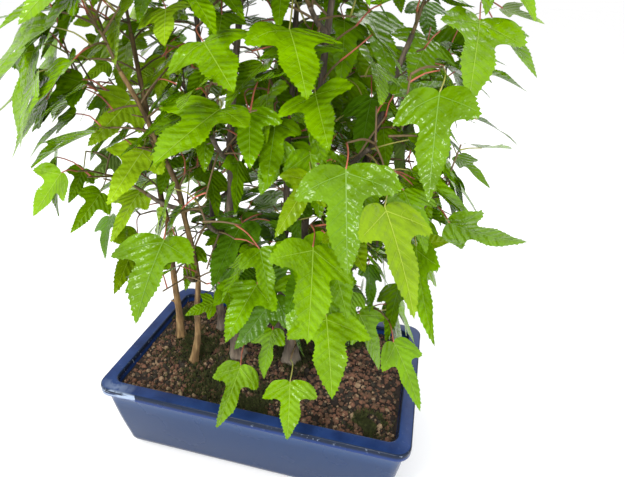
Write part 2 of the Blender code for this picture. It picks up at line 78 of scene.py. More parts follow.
STEMS = (
    ("stem_a", (-0.0894, 0.0071), (-0.0885, 0.0040, 0.190), (-0.0950, 0.0000, 0.318), 0.0032),
    ("stem_b", (-0.0634, -0.0195), (-0.0560, -0.0200, 0.187), (-0.0830, -0.0350, 0.300), 0.0028),
    ("stem_c", (-0.0588, 0.0278), (-0.0570, 0.0220, 0.180), (-0.0680, 0.0400, 0.335), 0.0029),
    ("stem_d", (-0.0309, -0.0027), (-0.0330, 0.0000, 0.200), (-0.0150, 0.0000, 0.368), 0.0044),
    ("stem_e", (-0.0082, 0.0453), (0.0000, 0.0300, 0.185), (0.0040, 0.0460, 0.350), 0.0037),
    ("stem_f", (0.0140, 0.0050), (0.0235, 0.0000, 0.200), (0.0400, -0.0080, 0.356), 0.0050),
    ("stem_g", (0.0430, 0.0260), (0.0500, 0.0220, 0.185), (0.0830, 0.0180, 0.325), 0.0034),
)
STEM_TIP_RADIUS = 0.0016
STEM_SWAY = 0.0012
SWAY_TURN = 2.4  # radians from one side step to the next
STEM_RINGS = 10
STEM_SIDES = 8
FLARE = 0.75
FLARE_HEIGHT = 0.009
FLARE_RING = 0.3  # place in a stem's first span of the ring that rounds its flare

TIERS = (
    (0.168, 0.084, 0.060, 5, 20.0),
    (0.228, 0.108, 0.080, 7, 0.0),
    (0.292, 0.124, 0.090, 6, 25.0),
    (0.350, 0.050, 0.045, 2, -60.0),
)
CROWN_MIDDLE = (0.0, 0.0)
CROWN_LENGTH = 0.336
CROWN_DEPTH = 0.252
CROWN_FOOT = 0.088
CROWN_TOP = 0.426
CROWN_FOOT_SHARE = 0.60
CROWN_WIDEST = 0.270
CROWN_SQUARENESS = 3.0
MASS_RADIUS = 0.066
TOP_RISE = 0.020
LOW_SPRAYS = (
    ("spray_left", "stem_d", 0.104, (-0.014, -0.054, 0.112)),
    ("spray_front", "stem_f", 0.100, (0.034, -0.048, 0.110)),
    ("spray_right", "stem_g", 0.112, (0.086, -0.012, 0.122)),
)
SPRAY_FOOT = 0.080
SPRAY_REACH = 0.046

BOUGH_SHARE = 0.56
BOUGH_RISE = 0.55
BOUGH_SAG = 0.10
BOUGH_ROOT_SHARE = 0.62
BOUGH_TIP_RADIUS = 0.0014
BOUGH_ROOT_LEAST = 1.3  # radius of a bough's root, at least, over its tip's
BOUGH_RINGS = 5
BOUGH_SIDES = 6
BOUGH_DROP = 0.05
BURDEN = 0.014
LIMB_CLEARANCE = 0.0030

TWIG_RADIUS = 0.0019
TWIG_TAPER = 0.7
SIDE_TWIG_RADIUS = 0.0011
STALK_RADIUS = 0.0007
STALK_ROOT_RADIUS = 0.00045
TWIG_SIDES = 3
TWIG_OVERSHOOT = 0.014
TWIG_ARCH = 0.004
NODE_SHARES = (0.28, 0.5, 0.7, 0.86, 1.0)
FORKED_NODES = 3
SIDE_TWIG = (0.018, 0.028)
SIDE_TWIG_TEST = 0.3  # a side twig stays in its cell from this share of it on
LEAST_LEVEL = 0.2  # a twig nearer upright than this has no level way across it
STALK_LENGTH = (0.012, 0.024)
LEAF_LENGTH = (0.042, 0.056)
LEAF_THICKNESS = 0.034
ROOT_START = 0.0002
BUD_INSET = 0.0010
PAIR_INSET = 0.0038
SHARPEST_FOLD = -0.45
LEAF_TRIES = 70
PAIR_LEAN = 0.7
SIDE_PAIR_LEAN = 0.4
TWIG_SPREAD = 0.45
PAIR_SPREAD = 0.5
STALK_SPREAD = 0.55
STALK_LIFT = 0.25
BLADE_SPREAD = 0.45
BLADE_DROOP = (35, 75)
BLADE_OUTWARD = 0.9  # how much a blade points away from the crown's middle
BLADE_FORWARD = 0.5  # and along its stalk
TOP_DROOP_LOSS = 30
TOP_DROOP_START = 0.6
BLADE_ROLL = 28
CELL_MARGIN = 0.0012
ROOT_FREE = 0.0030
LIMB_MARGIN = 0.0009
TWIG_MARGIN = 0.0004
LEAF_SWELL = 1.8
LEAF_OUTLINE = ((0.42, 0.33), (0.17, 0.44), (0.0, 1.0), (-0.17, 0.44), (-0.42, 0.33))
LEAF_MIDDLE = 0.36
STALK_CORNERS = ((0.0, 1.0), (0.87, -0.5), (-0.87, -0.5))
SEED = 11
MASS_SEED = 1000

# ---- the photograph's camera, found from the pot's rim ----

IMAGE_WIDTH = 625
IMAGE_HEIGHT = 477
FOCAL_PIXELS = 480.10
CAMERA_PLACE = Vector((0.09896, -0.29884, 0.34868))
CAMERA_PITCH = 27.7415  # degrees down
CAMERA_YAW = -12.9276
CAMERA_ROLL = 2.0883
SENSOR = 36.0  # mm


def camera_axes():
    """Right, up and forward of the photograph's camera."""
    pitch, yaw, roll = (math.radians(a) for a in (CAMERA_PITCH, CAMERA_YAW, CAMERA_ROLL))
    forward = Vector((math.sin(yaw) * math.cos(pitch), math.cos(yaw) * math.cos(pitch), -math.sin(pitch)))
    level = Vector((math.cos(yaw), -math.sin(yaw), 0.0))
    upright = level.cross(forward)
    right = level * math.cos(roll) + upright * math.sin(roll)
    up = upright * math.cos(roll) - level * math.sin(roll)
    return right, up, forward


RIGHT, UP, FORWARD = camera_axes()


def pixel_point(pixel, depth):
    """The point that a pixel of the photograph shows, at a depth along the camera's axis."""
    x = (pixel[0] - IMAGE_WIDTH / 2) / FOCAL_PIXELS
    y = (IMAGE_HEIGHT / 2 - pixel[1]) / FOCAL_PIXELS
    return CAMERA_PLACE + (RIGHT * x + UP * y + FORWARD) * depth


def to_pixels(points):
    """Pixels and depths of points in the photograph's view."""
    offset = np.asarray(points) - np.array(CAMERA_PLACE)
    depth = offset @ np.array(FORWARD)
    x = IMAGE_WIDTH / 2 + FOCAL_PIXELS * (offset @ np.array(RIGHT)) / depth
    y = IMAGE_HEIGHT / 2 - FOCAL_PIXELS * (offset @ np.array(UP)) / depth
    return np.stack([x, y], axis=1), depth


# ---- shapes in common ----

NEARLY_ALONG = 0.9  # cosine above which a tube runs too near X to start its rings from it


def upward(height):
    return Vector((0.0, 0.0, height))


def as_array(points):
    return np.array([tuple(point) for point in points])


def loft(rings):
    """Vertices and faces of a closed body through rings of equal count."""
    count = len(rings[0])
    vertices = [point for ring in rings for point in ring]
    faces = [tuple(reversed(range(count)))]
    for level in range(len(rings) - 1):
        low = level * count
        for k in range(count):
            after = (k + 1) % count
            faces.append((low + k, low + after, low + count + after, low + count + k))
    last = (len(rings) - 1) * count
    faces.append(tuple(range(last, last + count)))
    return vertices, faces


def tube_rings(points, radii, sides, across, swell=None):
    """Rings square to a course, without a twist; swell(k, angle) gives a factor on the radius."""
    rings = []
    for k, point in enumerate(points):
        along = (points[min(k + 1, len(points) - 1)] - points[max(k - 1, 0)]).normalized()
        across = (across - along * across.dot(along)).normalized()
        other = along.cross(across)
        ring = []
        for side in range(sides):
            angle = 2 * math.pi * side / sides
            radius = radii[k] * (swell(k, angle) if swell else 1.0)
            ring.append(point + (across * math.cos(angle) + other * math.sin(angle)) * radius)
        rings.append(ring)
    return rings


def tube(points, radii, sides):
    """A closed tapering tube, its rings square to its course."""
    start = (points[1] - points[0]).normalized()
    across = Vector((0.0, 1.0, 0.0)) if abs(start.x) > NEARLY_ALONG else Vector((1.0, 0.0, 0.0))
    return loft(tube_rings(points, radii, sides, across))


def drawn_bend(start, pull, end, share):
    """A place on the curve from start to end that a third point pulls to itself."""
    return start * (1 - share) ** 2 + pull * 2 * share * (1 - share) + end * share**2


def on_twig(start, bend, end, share):
    """The place at a share of a twig that is bent at its middle."""
    return start.lerp(bend, share * 2) if share < 0.5 else bend.lerp(end, share * 2 - 1)


def across_line(line, least_level, spare):
    """Two ways across a line, the first one level, or spare where the line is nearly upright."""
    across = line.cross(upward(1.0))
    if across.length < least_level:
        across = spare.copy()
    across.normalize()
    return across, line.cross(across).normalized()


class Shape:
    """A surface that can tell whether another one crosses it, quickly where they are far apart."""

    def __init__(self, shape):
        vertices, faces = shape
        places = as_array(vertices)
        self.low = places.min(axis=0)
        self.high = places.max(axis=0)
        self.tree = BVHTree.FromPolygons([tuple(v) for v in vertices], faces)

    def crosses(self, other):
        if (self.low > other.high).any() or (other.low > self.high).any():
            return False
        return bool(self.tree.overlap(other.tree))


# ---- the source's plan of limbs, repeated ----


@dataclass
class Limb:
    """A tapering limb: its course as points, and the radius at each of them."""

    name: str
    points: list
    radii: list

    def at_height(self, height):
        for k in range(len(self.points) - 1):
            low, high = self.points[k], self.points[k + 1]
            if low.z <= height <= high.z:
                share = (height - low.z) / (high.z - low.z)
                radius = self.radii[k] + share * (self.radii[k + 1] - self.radii[k])
                return low.lerp(high, share), radius
        return self.points[-1].copy(), self.radii[-1]

    def end_direction(self):
        return (self.points[-1] - self.points[-2]).normalized()

    def solid(self, sides, margin=0.0):
        return tube(self.points, [radius + margin for radius in self.radii], sides)


def stem_limb(name, foot, waist, tip, radius):
    start = Vector((*foot, SOIL_TOP + GAP))
    middle = Vector(waist)
    end = Vector(tip)
    pull = middle * 2 - (start + end) / 2
    phase = sum(map(ord, name))
    points, radii = [], []
    for k in range(STEM_RINGS):
        share = k / (STEM_RINGS - 1)
        point = drawn_bend(start, pull, end, share)
        turn = phase + SWAY_TURN * k
        point += Vector((math.sin(turn), math.cos(turn), 0.0)) * (STEM_SWAY * math.sin(math.pi * share))
        taper = radius + (STEM_TIP_RADIUS - radius) * share
        points.append(point)
        radii.append(taper * (1 + FLARE * math.exp(-(point.z - start.z) / FLARE_HEIGHT)))
    points.insert(1, points[0].lerp(points[1], FLARE_RING))
    radii.insert(1, radius * (1 + FLARE * math.exp(-(points[1].z - start.z) / FLARE_HEIGHT)))
    return Limb(name, points, radii)


def bough_limb(name, stem, middle):
    sideways = math.hypot(middle.x - stem.points[0].x, middle.y - stem.points[0].y)
    root, stem_radius = stem.at_height(middle.z - BOUGH_RISE * sideways)
    run = middle - root
    tip = root + run * BOUGH_SHARE
    bend = root.lerp(tip, 0.5) - upward(BOUGH_SAG * run.length)
    root_radius = max(stem_radius * BOUGH_ROOT_SHARE, BOUGH_TIP_RADIUS * BOUGH_ROOT_LEAST)
    shares = [k / (BOUGH_RINGS - 1) for k in range(BOUGH_RINGS)]
    points = [drawn_bend(root, bend, tip, share) for share in shares]
    return Limb(name, points, [root_radius + (BOUGH_TIP_RADIUS - root_radius) * share for share in shares])


def tier_middles():
    """Name and middle of each mass that a bough bears."""
    found = []
    for tier, (height, half_length, half_depth, count, turn) in enumerate(TIERS, 1):
        for k in range(count):
            angle = math.radians(turn + 360 * k / count)
            x = CROWN_MIDDLE[0] + half_length * math.cos(angle)
            y = CROWN_MIDDLE[1] + half_depth * math.sin(angle)
            found.append((f"tier{tier}_{k + 1}", Vector((x, y, height))))
    return found


def plan_boughs(stems, tiers):
    """A bough for each tier mass, from the nearest stem that has a clear way and carries few."""
    carried = {stem.name: 0 for stem in stems}
    boughs = []
    for name, middle in tiers:
        def cost(stem):
            foot, _ = stem.at_height(middle.z - BOUGH_DROP)
            return math.hypot(foot.x - middle.x, foot.y - middle.y) + BURDEN * carried[stem.name]

        for stem in sorted(stems, key=cost):
            limb = bough_limb("bough_" + name, stem, middle)
            others = [other for other in stems + boughs if other is not stem]
            if Room(others, [middle]).is_clear(limb.solid(BOUGH_SIDES, LIMB_CLEARANCE)):
                break
        carried[stem.name] += 1
        boughs.append(limb)
    return boughs


def plan_masses(stems, boughs, tiers):
    """Name, root, heading and middle of every mass of foliage."""
    by_name = {stem.name: stem for stem in stems}
    plan = []
    for name, stem_name, height, middle in LOW_SPRAYS:
        middle = Vector(middle)
        point, radius = by_name[stem_name].at_height(height)
        heading = (middle - point).normalized()
        plan.append((name, point + heading * (radius + GAP), heading, middle))
    for (name, middle), bough in zip(tiers, boughs):
        plan.append(("mass_" + name, bough.points[-1], bough.end_direction(), middle))
    for stem in stems:
        tip = stem.points[-1]
        heading = stem.end_direction()
        plan.append((stem.name.replace("stem", "top"), tip, heading, tip + heading * TOP_RISE))
    return plan


class Room:
    """What a growing twig or leaf must stay clear of: limbs, what has grown, and its cell's walls."""

    def __init__(self, limbs, middles):
        self.limbs = [Shape(limb.solid(STEM_SIDES, LIMB_MARGIN)) for limb in limbs]
        self.middles = np.array(middles)
        self.grown = []

    def is_clear(self, shape):
        solid = Shape(shape)
        return not any(other.crosses(solid) for other in self.limbs + self.grown)

    def in_cell(self, points, index):
        own = np.linalg.norm(points - self.middles[index], axis=1)
        if own.max() > mass_reach(index):
            return False
        others = np.delete(self.middles, index, axis=0)
        apart = np.linalg.norm(others - self.middles[index], axis=1)
        halfway = (others + self.middles[index]) / 2
        beyond = ((points[:, None, :] - halfway) * (others - self.middles[index])).sum(axis=2) / apart
        return bool(beyond.max() < -CELL_MARGIN) and in_crown(points, index)


def mass_reach(index):
    return SPRAY_REACH if index < len(LOW_SPRAYS) else MASS_RADIUS


def in_crown(points, index):
    """Whether all points of a mass lie in the crown, or above a low spray's foot."""
    if index < len(LOW_SPRAYS):
        return bool(points[:, 2].min() > SPRAY_FOOT)
    middle = np.array((*CROWN_MIDDLE, (CROWN_FOOT + CROWN_TOP) / 2))
    half = np.array((CROWN_LENGTH, CROWN_DEPTH, CROWN_TOP - CROWN_FOOT)) / 2
    climb = np.clip((points[:, 2] - CROWN_FOOT) / (CROWN_WIDEST - CROWN_FOOT), 0.0, 1.0)
    width = CROWN_FOOT_SHARE + (1 - CROWN_FOOT_SHARE) * climb
    out = np.abs((points - middle) / half)
    out[:, :2] /= width[:, None]
    share = (out**CROWN_SQUARENESS).sum(axis=1)
    return bool(share.max() < 1.0)

# ---- the source's rule of twigs and leaves, repeated ----


def turned(direction, spread, rng):
    jitter = Vector([rng.uniform(-spread, spread) for _ in range(3)])
    return (direction + jitter).normalized()


def pair_ways(heading, rng):
    """Ways of the two leaves of a pair on a side twig."""
    across = heading.cross(turned(upward(1.0), PAIR_SPREAD, rng)).normalized()
    return [(across * sign + heading * SIDE_PAIR_LEAN).normalized() for sign in (1, -1)]


def stalk_end(node, way, rng):
    """Heading and far end of a leaf's stalk."""
    heading = turned(way + upward(STALK_LIFT), STALK_SPREAD, rng)
    return heading, node + heading * rng.uniform(*STALK_LENGTH)


def blade_pose(base, heading, rng):
    """Directions of a blade: it hangs from its stalk, tip down and out, its face up and out."""
    outward = Vector((base.x - CROWN_MIDDLE[0], base.y - CROWN_MIDDLE[1], 0.0)).normalized()
    level = Vector((heading.x, heading.y, 0.0))
    level = turned(outward * BLADE_OUTWARD + level * BLADE_FORWARD, BLADE_SPREAD, rng)
    level.z = 0.0
    level.normalize()
    height = (base.z - CROWN_FOOT) / (CROWN_TOP - CROWN_FOOT)
    near_top = max(height - TOP_DROOP_START, 0.0) / (1 - TOP_DROOP_START)
    droop = math.radians(rng.uniform(*BLADE_DROOP) - TOP_DROOP_LOSS * near_top)
    along = level * math.cos(droop) - upward(math.sin(droop))
    normal = level * math.sin(droop) + upward(math.cos(droop))
    roll = math.radians(rng.uniform(-BLADE_ROLL, BLADE_ROLL))
    side = along.cross(normal)
    return along.normalized(), (normal * math.cos(roll) + side * math.sin(roll)).normalized()


def stalk_ring(centre, side, way, radius):
    across = (side - way * side.dot(way)).normalized()
    up = across.cross(way)
    return [centre + (across * x + up * y) * radius for x, y in STALK_CORNERS]


@dataclass
class Leaf:
    """A leaf: its stalk's root, its blade's base, directions, length and width, and its tone."""

    root: Vector
    base: Vector
    along: Vector
    normal: Vector
    length: float
    tone: str = ""
    width: float = 1.0

    def places(self, outline):
        """Places on the blade, given as shares of its length to the side and forward."""
        side = self.along.cross(self.normal)
        return as_array([self.base + (side * x + self.along * y) * self.length for x, y in outline])

    def solid(self, root, swell, outline):
        """The source's leaf solid: a three-sided stalk that opens into a blade ridged on both faces."""
        side = self.along.cross(self.normal)
        way = (self.base - root).normalized()
        halfway = (way + self.along).normalized()
        across = (side - halfway * side.dot(halfway)).normalized()
        middle = self.base + self.along * self.length * LEAF_MIDDLE
        lift = self.normal * self.length * LEAF_THICKNESS / 2 * swell
        vertices = stalk_ring(root, across, way, STALK_ROOT_RADIUS * swell)
        vertices += stalk_ring(self.base, across, halfway, STALK_RADIUS * swell)
        vertices += [Vector(p) for p in self.places(outline)] + [middle + lift, middle - lift]
        corners = len(STALK_CORNERS)
        top, right, left = range(corners, 2 * corners)
        rim = range(2 * corners, 2 * corners + len(outline))
        above, below = rim.stop, rim.stop + 1
        faces = [(0, 2, 1)]
        for a in range(corners):
            b = (a + 1) % corners
            faces.append((a, b, b + corners, a + corners))
        upper = [top, right, *rim, left, top]
        lower = [right, *rim, left, right]
        faces += [(above, a, b) for a, b in zip(upper, upper[1:])]
        faces += [(below, b, a) for a, b in zip(lower, lower[1:])]
        return vertices, faces


# ---- growth: the rule's masses, and finer twigs within the same reach ----

TWIG_HOLD = 0.0075  # what starts this near a place of a twig is borne there
MAIN_TWIG = 0.00125  # radius that a mass's main twig is drawn with
MAIN_TWIG_TAPER = 0.11  # share of it lost from each point to the next
MAIN_TWIG_SHARES = (0.25, 0.5, 0.75, 1.0)  # its drawn points, up to the last that bears something
TWIG_PROBES = np.linspace(0.1, 1.0, 19)  # places of the main twig where something may leave it
SIDE_TWIG_RADII = tuple(0.00075 * share for share in (1.0, 0.85, 0.7))
SHELL_STALK = 0.004  # the last of a stalk, counted with its blade
SHELL_WAY = (-0.6, 0.4)  # its way from the blade's base, along the blade and up
FINER_SPACING = 0.0100  # of the pairs of finer twigs along stems, boughs and main twigs
FINER_LEAST_LEVEL = 0.3
FINER_SEED = 7
FINER_LEAN = 0.5  # how far a finer twig leans forward along its wood
FINER_TWIG = (0.014, 0.034)
FINER_ARCH = 0.0012
FINER_TRIES = 9
FINER_LENGTH = (0.032, 0.052)
FINER_SWELL = 0.7
FINER_SPREAD = 0.32  # chance turn of a finer leaf's blade
FINER_LIFT = (0.0, 0.8)  # how much less a finer leaf's blade hangs
FINER_STEM_FOOT = 0.150  # finer twigs leave the stems above this height
FINER_BOUGH_START = 0.35  # and the boughs beyond this share of them
LEAF_RIM = (  # the true blade's hull, a little fuller than the source's
    (0.30, 0.04),
    (0.44, 0.28),
    (0.20, 0.42),
    (0.20, 0.62),
    (0.0, 1.0),
    (-0.20, 0.62),
    (-0.20, 0.42),
    (-0.44, 0.28),
    (-0.30, 0.04),
)


def any_near(place, others):
    return any((place - other).length < TWIG_HOLD for other in others)


class Growth:
    """One mass, grown by the source's rule."""

    def __init__(self, index, root, heading, middle, room):
        self.index = index
        self.room = room
        self.rng = random.Random(SEED * MASS_SEED + index)
        self.twigs = []  # (points, radii)
        self.leaves = []
        room.grown = []
        for node, way in self.grow_twigs(root, heading, middle):
            self.grow_leaf(node, way)

    def add_twig(self, points, radii):
        self.twigs.append((points, radii))
        start = points[0] + (points[1] - points[0]).normalized() * ROOT_FREE
        fat = [radius + TWIG_MARGIN for radius in radii]
        self.room.grown.append(Shape(tube([start, *points[1:]], fat, TWIG_SIDES)))

    def grow_twigs(self, root, heading, middle):
        """The main twig and its side twigs. It returns a node and a way for each leaf."""
        start = root + heading * GAP
        end = middle + (middle - start).normalized() * TWIG_OVERSHOOT
        bend = start.lerp(end, 0.5) + upward(TWIG_ARCH)
        middle_radius = TWIG_RADIUS * (1 + TWIG_TAPER) / 2
        self.add_twig([start, bend, end], [TWIG_RADIUS, middle_radius, TWIG_RADIUS * TWIG_TAPER])
        line = (end - start).normalized()
        sides = across_line(line, LEAST_LEVEL, Vector((1.0, 0.0, 0.0)))
        tip_way = (end - bend).normalized()
        bud = end - tip_way * PAIR_INSET
        nodes = []
        for k, share in enumerate(NODE_SHARES):
            node = on_twig(start, bend, bud, share)
            for sign in (1, -1):
                out = (sides[k % 2] * sign + line * PAIR_LEAN).normalized()
                nodes += self.side_twig(node, out) if k < FORKED_NODES else [(node, out)]
        nodes.append((end - tip_way * BUD_INSET, tip_way))
        return nodes

    def side_twig(self, node, out):
        """A side twig that bears a pair of leaves and one at its end, or none where it has no room."""
        for _ in range(LEAF_TRIES):
            heading = turned(out, TWIG_SPREAD, self.rng)
            tip = node + heading * self.rng.uniform(*SIDE_TWIG)
            fat = [SIDE_TWIG_RADIUS + TWIG_MARGIN] * 2
            free = tube([node + heading * ROOT_FREE, tip], fat, TWIG_SIDES)
            inside = self.room.in_cell(as_array([node.lerp(tip, SIDE_TWIG_TEST), tip]), self.index)
            if inside and self.room.is_clear(free):
                self.add_twig([node + heading * ROOT_START, tip], [SIDE_TWIG_RADIUS] * 2)
                pair = tip - heading * PAIR_INSET
                nodes = [(pair, way) for way in pair_ways(heading, self.rng)]
                return nodes + [(tip - heading * BUD_INSET, heading)]
        return [(node, out)]

    def grow_leaf(self, node, out):
        """A stalk and a hanging blade, placed where they have room, or nothing."""
        for _ in range(LEAF_TRIES):
            heading, base = stalk_end(node, out, self.rng)
            length = self.rng.uniform(*LEAF_LENGTH)
            along, normal = blade_pose(base, heading, self.rng)
            leaf = Leaf(node + heading * ROOT_START, base, along, normal, length)
            rim = as_array([base, *leaf.places(LEAF_OUTLINE)])
            if heading.dot(along) < SHARPEST_FOLD or not self.room.in_cell(rim, self.index):
                continue
            free_root = leaf.root + (base - leaf.root).normalized() * ROOT_FREE
            swollen = leaf.solid(free_root, LEAF_SWELL, LEAF_OUTLINE)
            if self.room.is_clear(swollen):
                self.leaves.append(leaf)
                self.room.grown.append(Shape(swollen))
                return

    def prune(self):
        """The twigs that still bear something: side twigs with a leaf, the main one up to the last."""
        roots = [leaf.root for leaf in self.leaves]
        (start, bend, end), _ = self.twigs[0]
        sides = [points for points, _ in self.twigs[1:] if any_near(points[-1], roots)]
        held = [foot for foot, _ in sides] + roots
        borne = [share for share in TWIG_PROBES if any_near(on_twig(start, bend, end, share), held)]
        if not borne:
            return []
        course = [start] + [on_twig(start, bend, end, borne[-1] * share) for share in MAIN_TWIG_SHARES]
        main_radii = [MAIN_TWIG * (1 - MAIN_TWIG_TAPER * k) for k in range(len(course))]
        side_courses = [[foot, foot.lerp(tip, 0.5), tip] for foot, tip in sides]
        return [(course, main_radii)] + [(points, SIDE_TWIG_RADII) for points in side_courses]


class Crowd:
    """Every blade and limb so far, with a quick test of whether a new shape would cut any."""

    def __init__(self):
        self.lows = np.empty((0, 3))
        self.highs = np.empty((0, 3))
        self.shapes = []

    def add(self, shape):
        self.lows = np.vstack([self.lows, shape.low])
        self.highs = np.vstack([self.highs, shape.high])
        self.shapes.append(shape)

    def cut_by(self, shape):
        near = (self.lows < shape.high).all(axis=1) & (self.highs > shape.low).all(axis=1)
        return any(self.shapes[k].crosses(shape) for k in np.nonzero(near)[0])


def blade_shell(leaf):
    """The blade and the last of its stalk, for the crowd."""
    way = leaf.along * SHELL_WAY[0] + upward(SHELL_WAY[1])
    return Shape(leaf.solid(leaf.base + way * SHELL_STALK, FINER_SWELL, LEAF_RIM))


def finer_nodes(stems, boughs, growths):
    """Places and ways of the finer twigs: pairs along the wood, each turned across the one before."""
    runs = [[point for point in stem.points if point.z > FINER_STEM_FOOT] for stem in stems]
    for bough in boughs:
        root = bough.points[0]
        low = root.lerp(bough.points[-1], FINER_BOUGH_START)
        beyond = (low - root).length
        runs.append([low] + [point for point in bough.points if (point - root).length > beyond])
    runs += [growth.twigs[0][0] for growth in growths]
    nodes = []
    for run in runs:
        turn = 0
        for low, high in zip(run, run[1:]):
            count = max(round((high - low).length / FINER_SPACING), 1)
            line = (high - low).normalized()
            level, steep = across_line(line, FINER_LEAST_LEVEL, Vector((math.cos(turn), math.sin(turn), 0.0)))
            for k in range(count):
                side = level if turn % 2 else steep
                turn += 1
                for sign in (1, -1):
                    way = (side * sign + line * FINER_LEAN).normalized()
                    nodes.append((low.lerp(high, (k + 0.5) / count), way))
    return nodes


def within_reach(points, middles):
    """Whether all points lie in the crown, and within a mass's reach of some mass."""
    if not in_crown(points, len(LOW_SPRAYS)):
        return False
    apart = np.linalg.norm(points[:, None] - middles[None], axis=2)
    return bool((apart.min(axis=1) < MASS_RADIUS).all())


def finer_leaf(node, way, middles, seen, crowd, rng):
    """A leaf of a finer twig, where the crowd leaves room and it covers nothing seen, or None."""
    for _ in range(FINER_TRIES):
        heading, base = stalk_end(node, way, rng)
        along, normal = blade_pose(base, heading, rng)
        along = turned(along + upward(rng.uniform(*FINER_LIFT)), FINER_SPREAD, rng)
        normal = (normal - along * normal.dot(along)).normalized()
        leaf = Leaf(node, base, along, normal, rng.uniform(*FINER_LENGTH))
        if heading.dot(along) < SHARPEST_FOLD or not within_reach(leaf.places(LEAF_OUTLINE), middles):
            continue
        if seen.blocked(leaf):
            continue
        shell = blade_shell(leaf)
        if not crowd.cut_by(shell):
            crowd.add(shell)
            return leaf
    return None


def grow_finer(nodes, middles, seen, crowd):
    """Finer twigs, each with leaves, wherever the crowd leaves room. Returns twigs and leaves."""
    rng = random.Random(SEED * FINER_SEED)
    rng.shuffle(nodes)
    twigs, leaves = [], []
    for node, out in nodes:
        heading = turned(out, TWIG_SPREAD, rng)
        tip = node + heading * rng.uniform(*FINER_TWIG)
        pair = tip - heading * PAIR_INSET
        places = [(pair, way) for way in pair_ways(heading, rng)] + [(tip, heading)]
        borne = [finer_leaf(place, way, middles, seen, crowd, rng) for place, way in places]
        borne = [leaf for leaf in borne if leaf is not None]
        if borne:
            twigs.append(([node, node.lerp(tip, 0.5) + upward(FINER_ARCH), tip], SIDE_TWIG_RADII))
            leaves += borne
    return twigs, leaves

# ---- leaves that the photograph shows ----

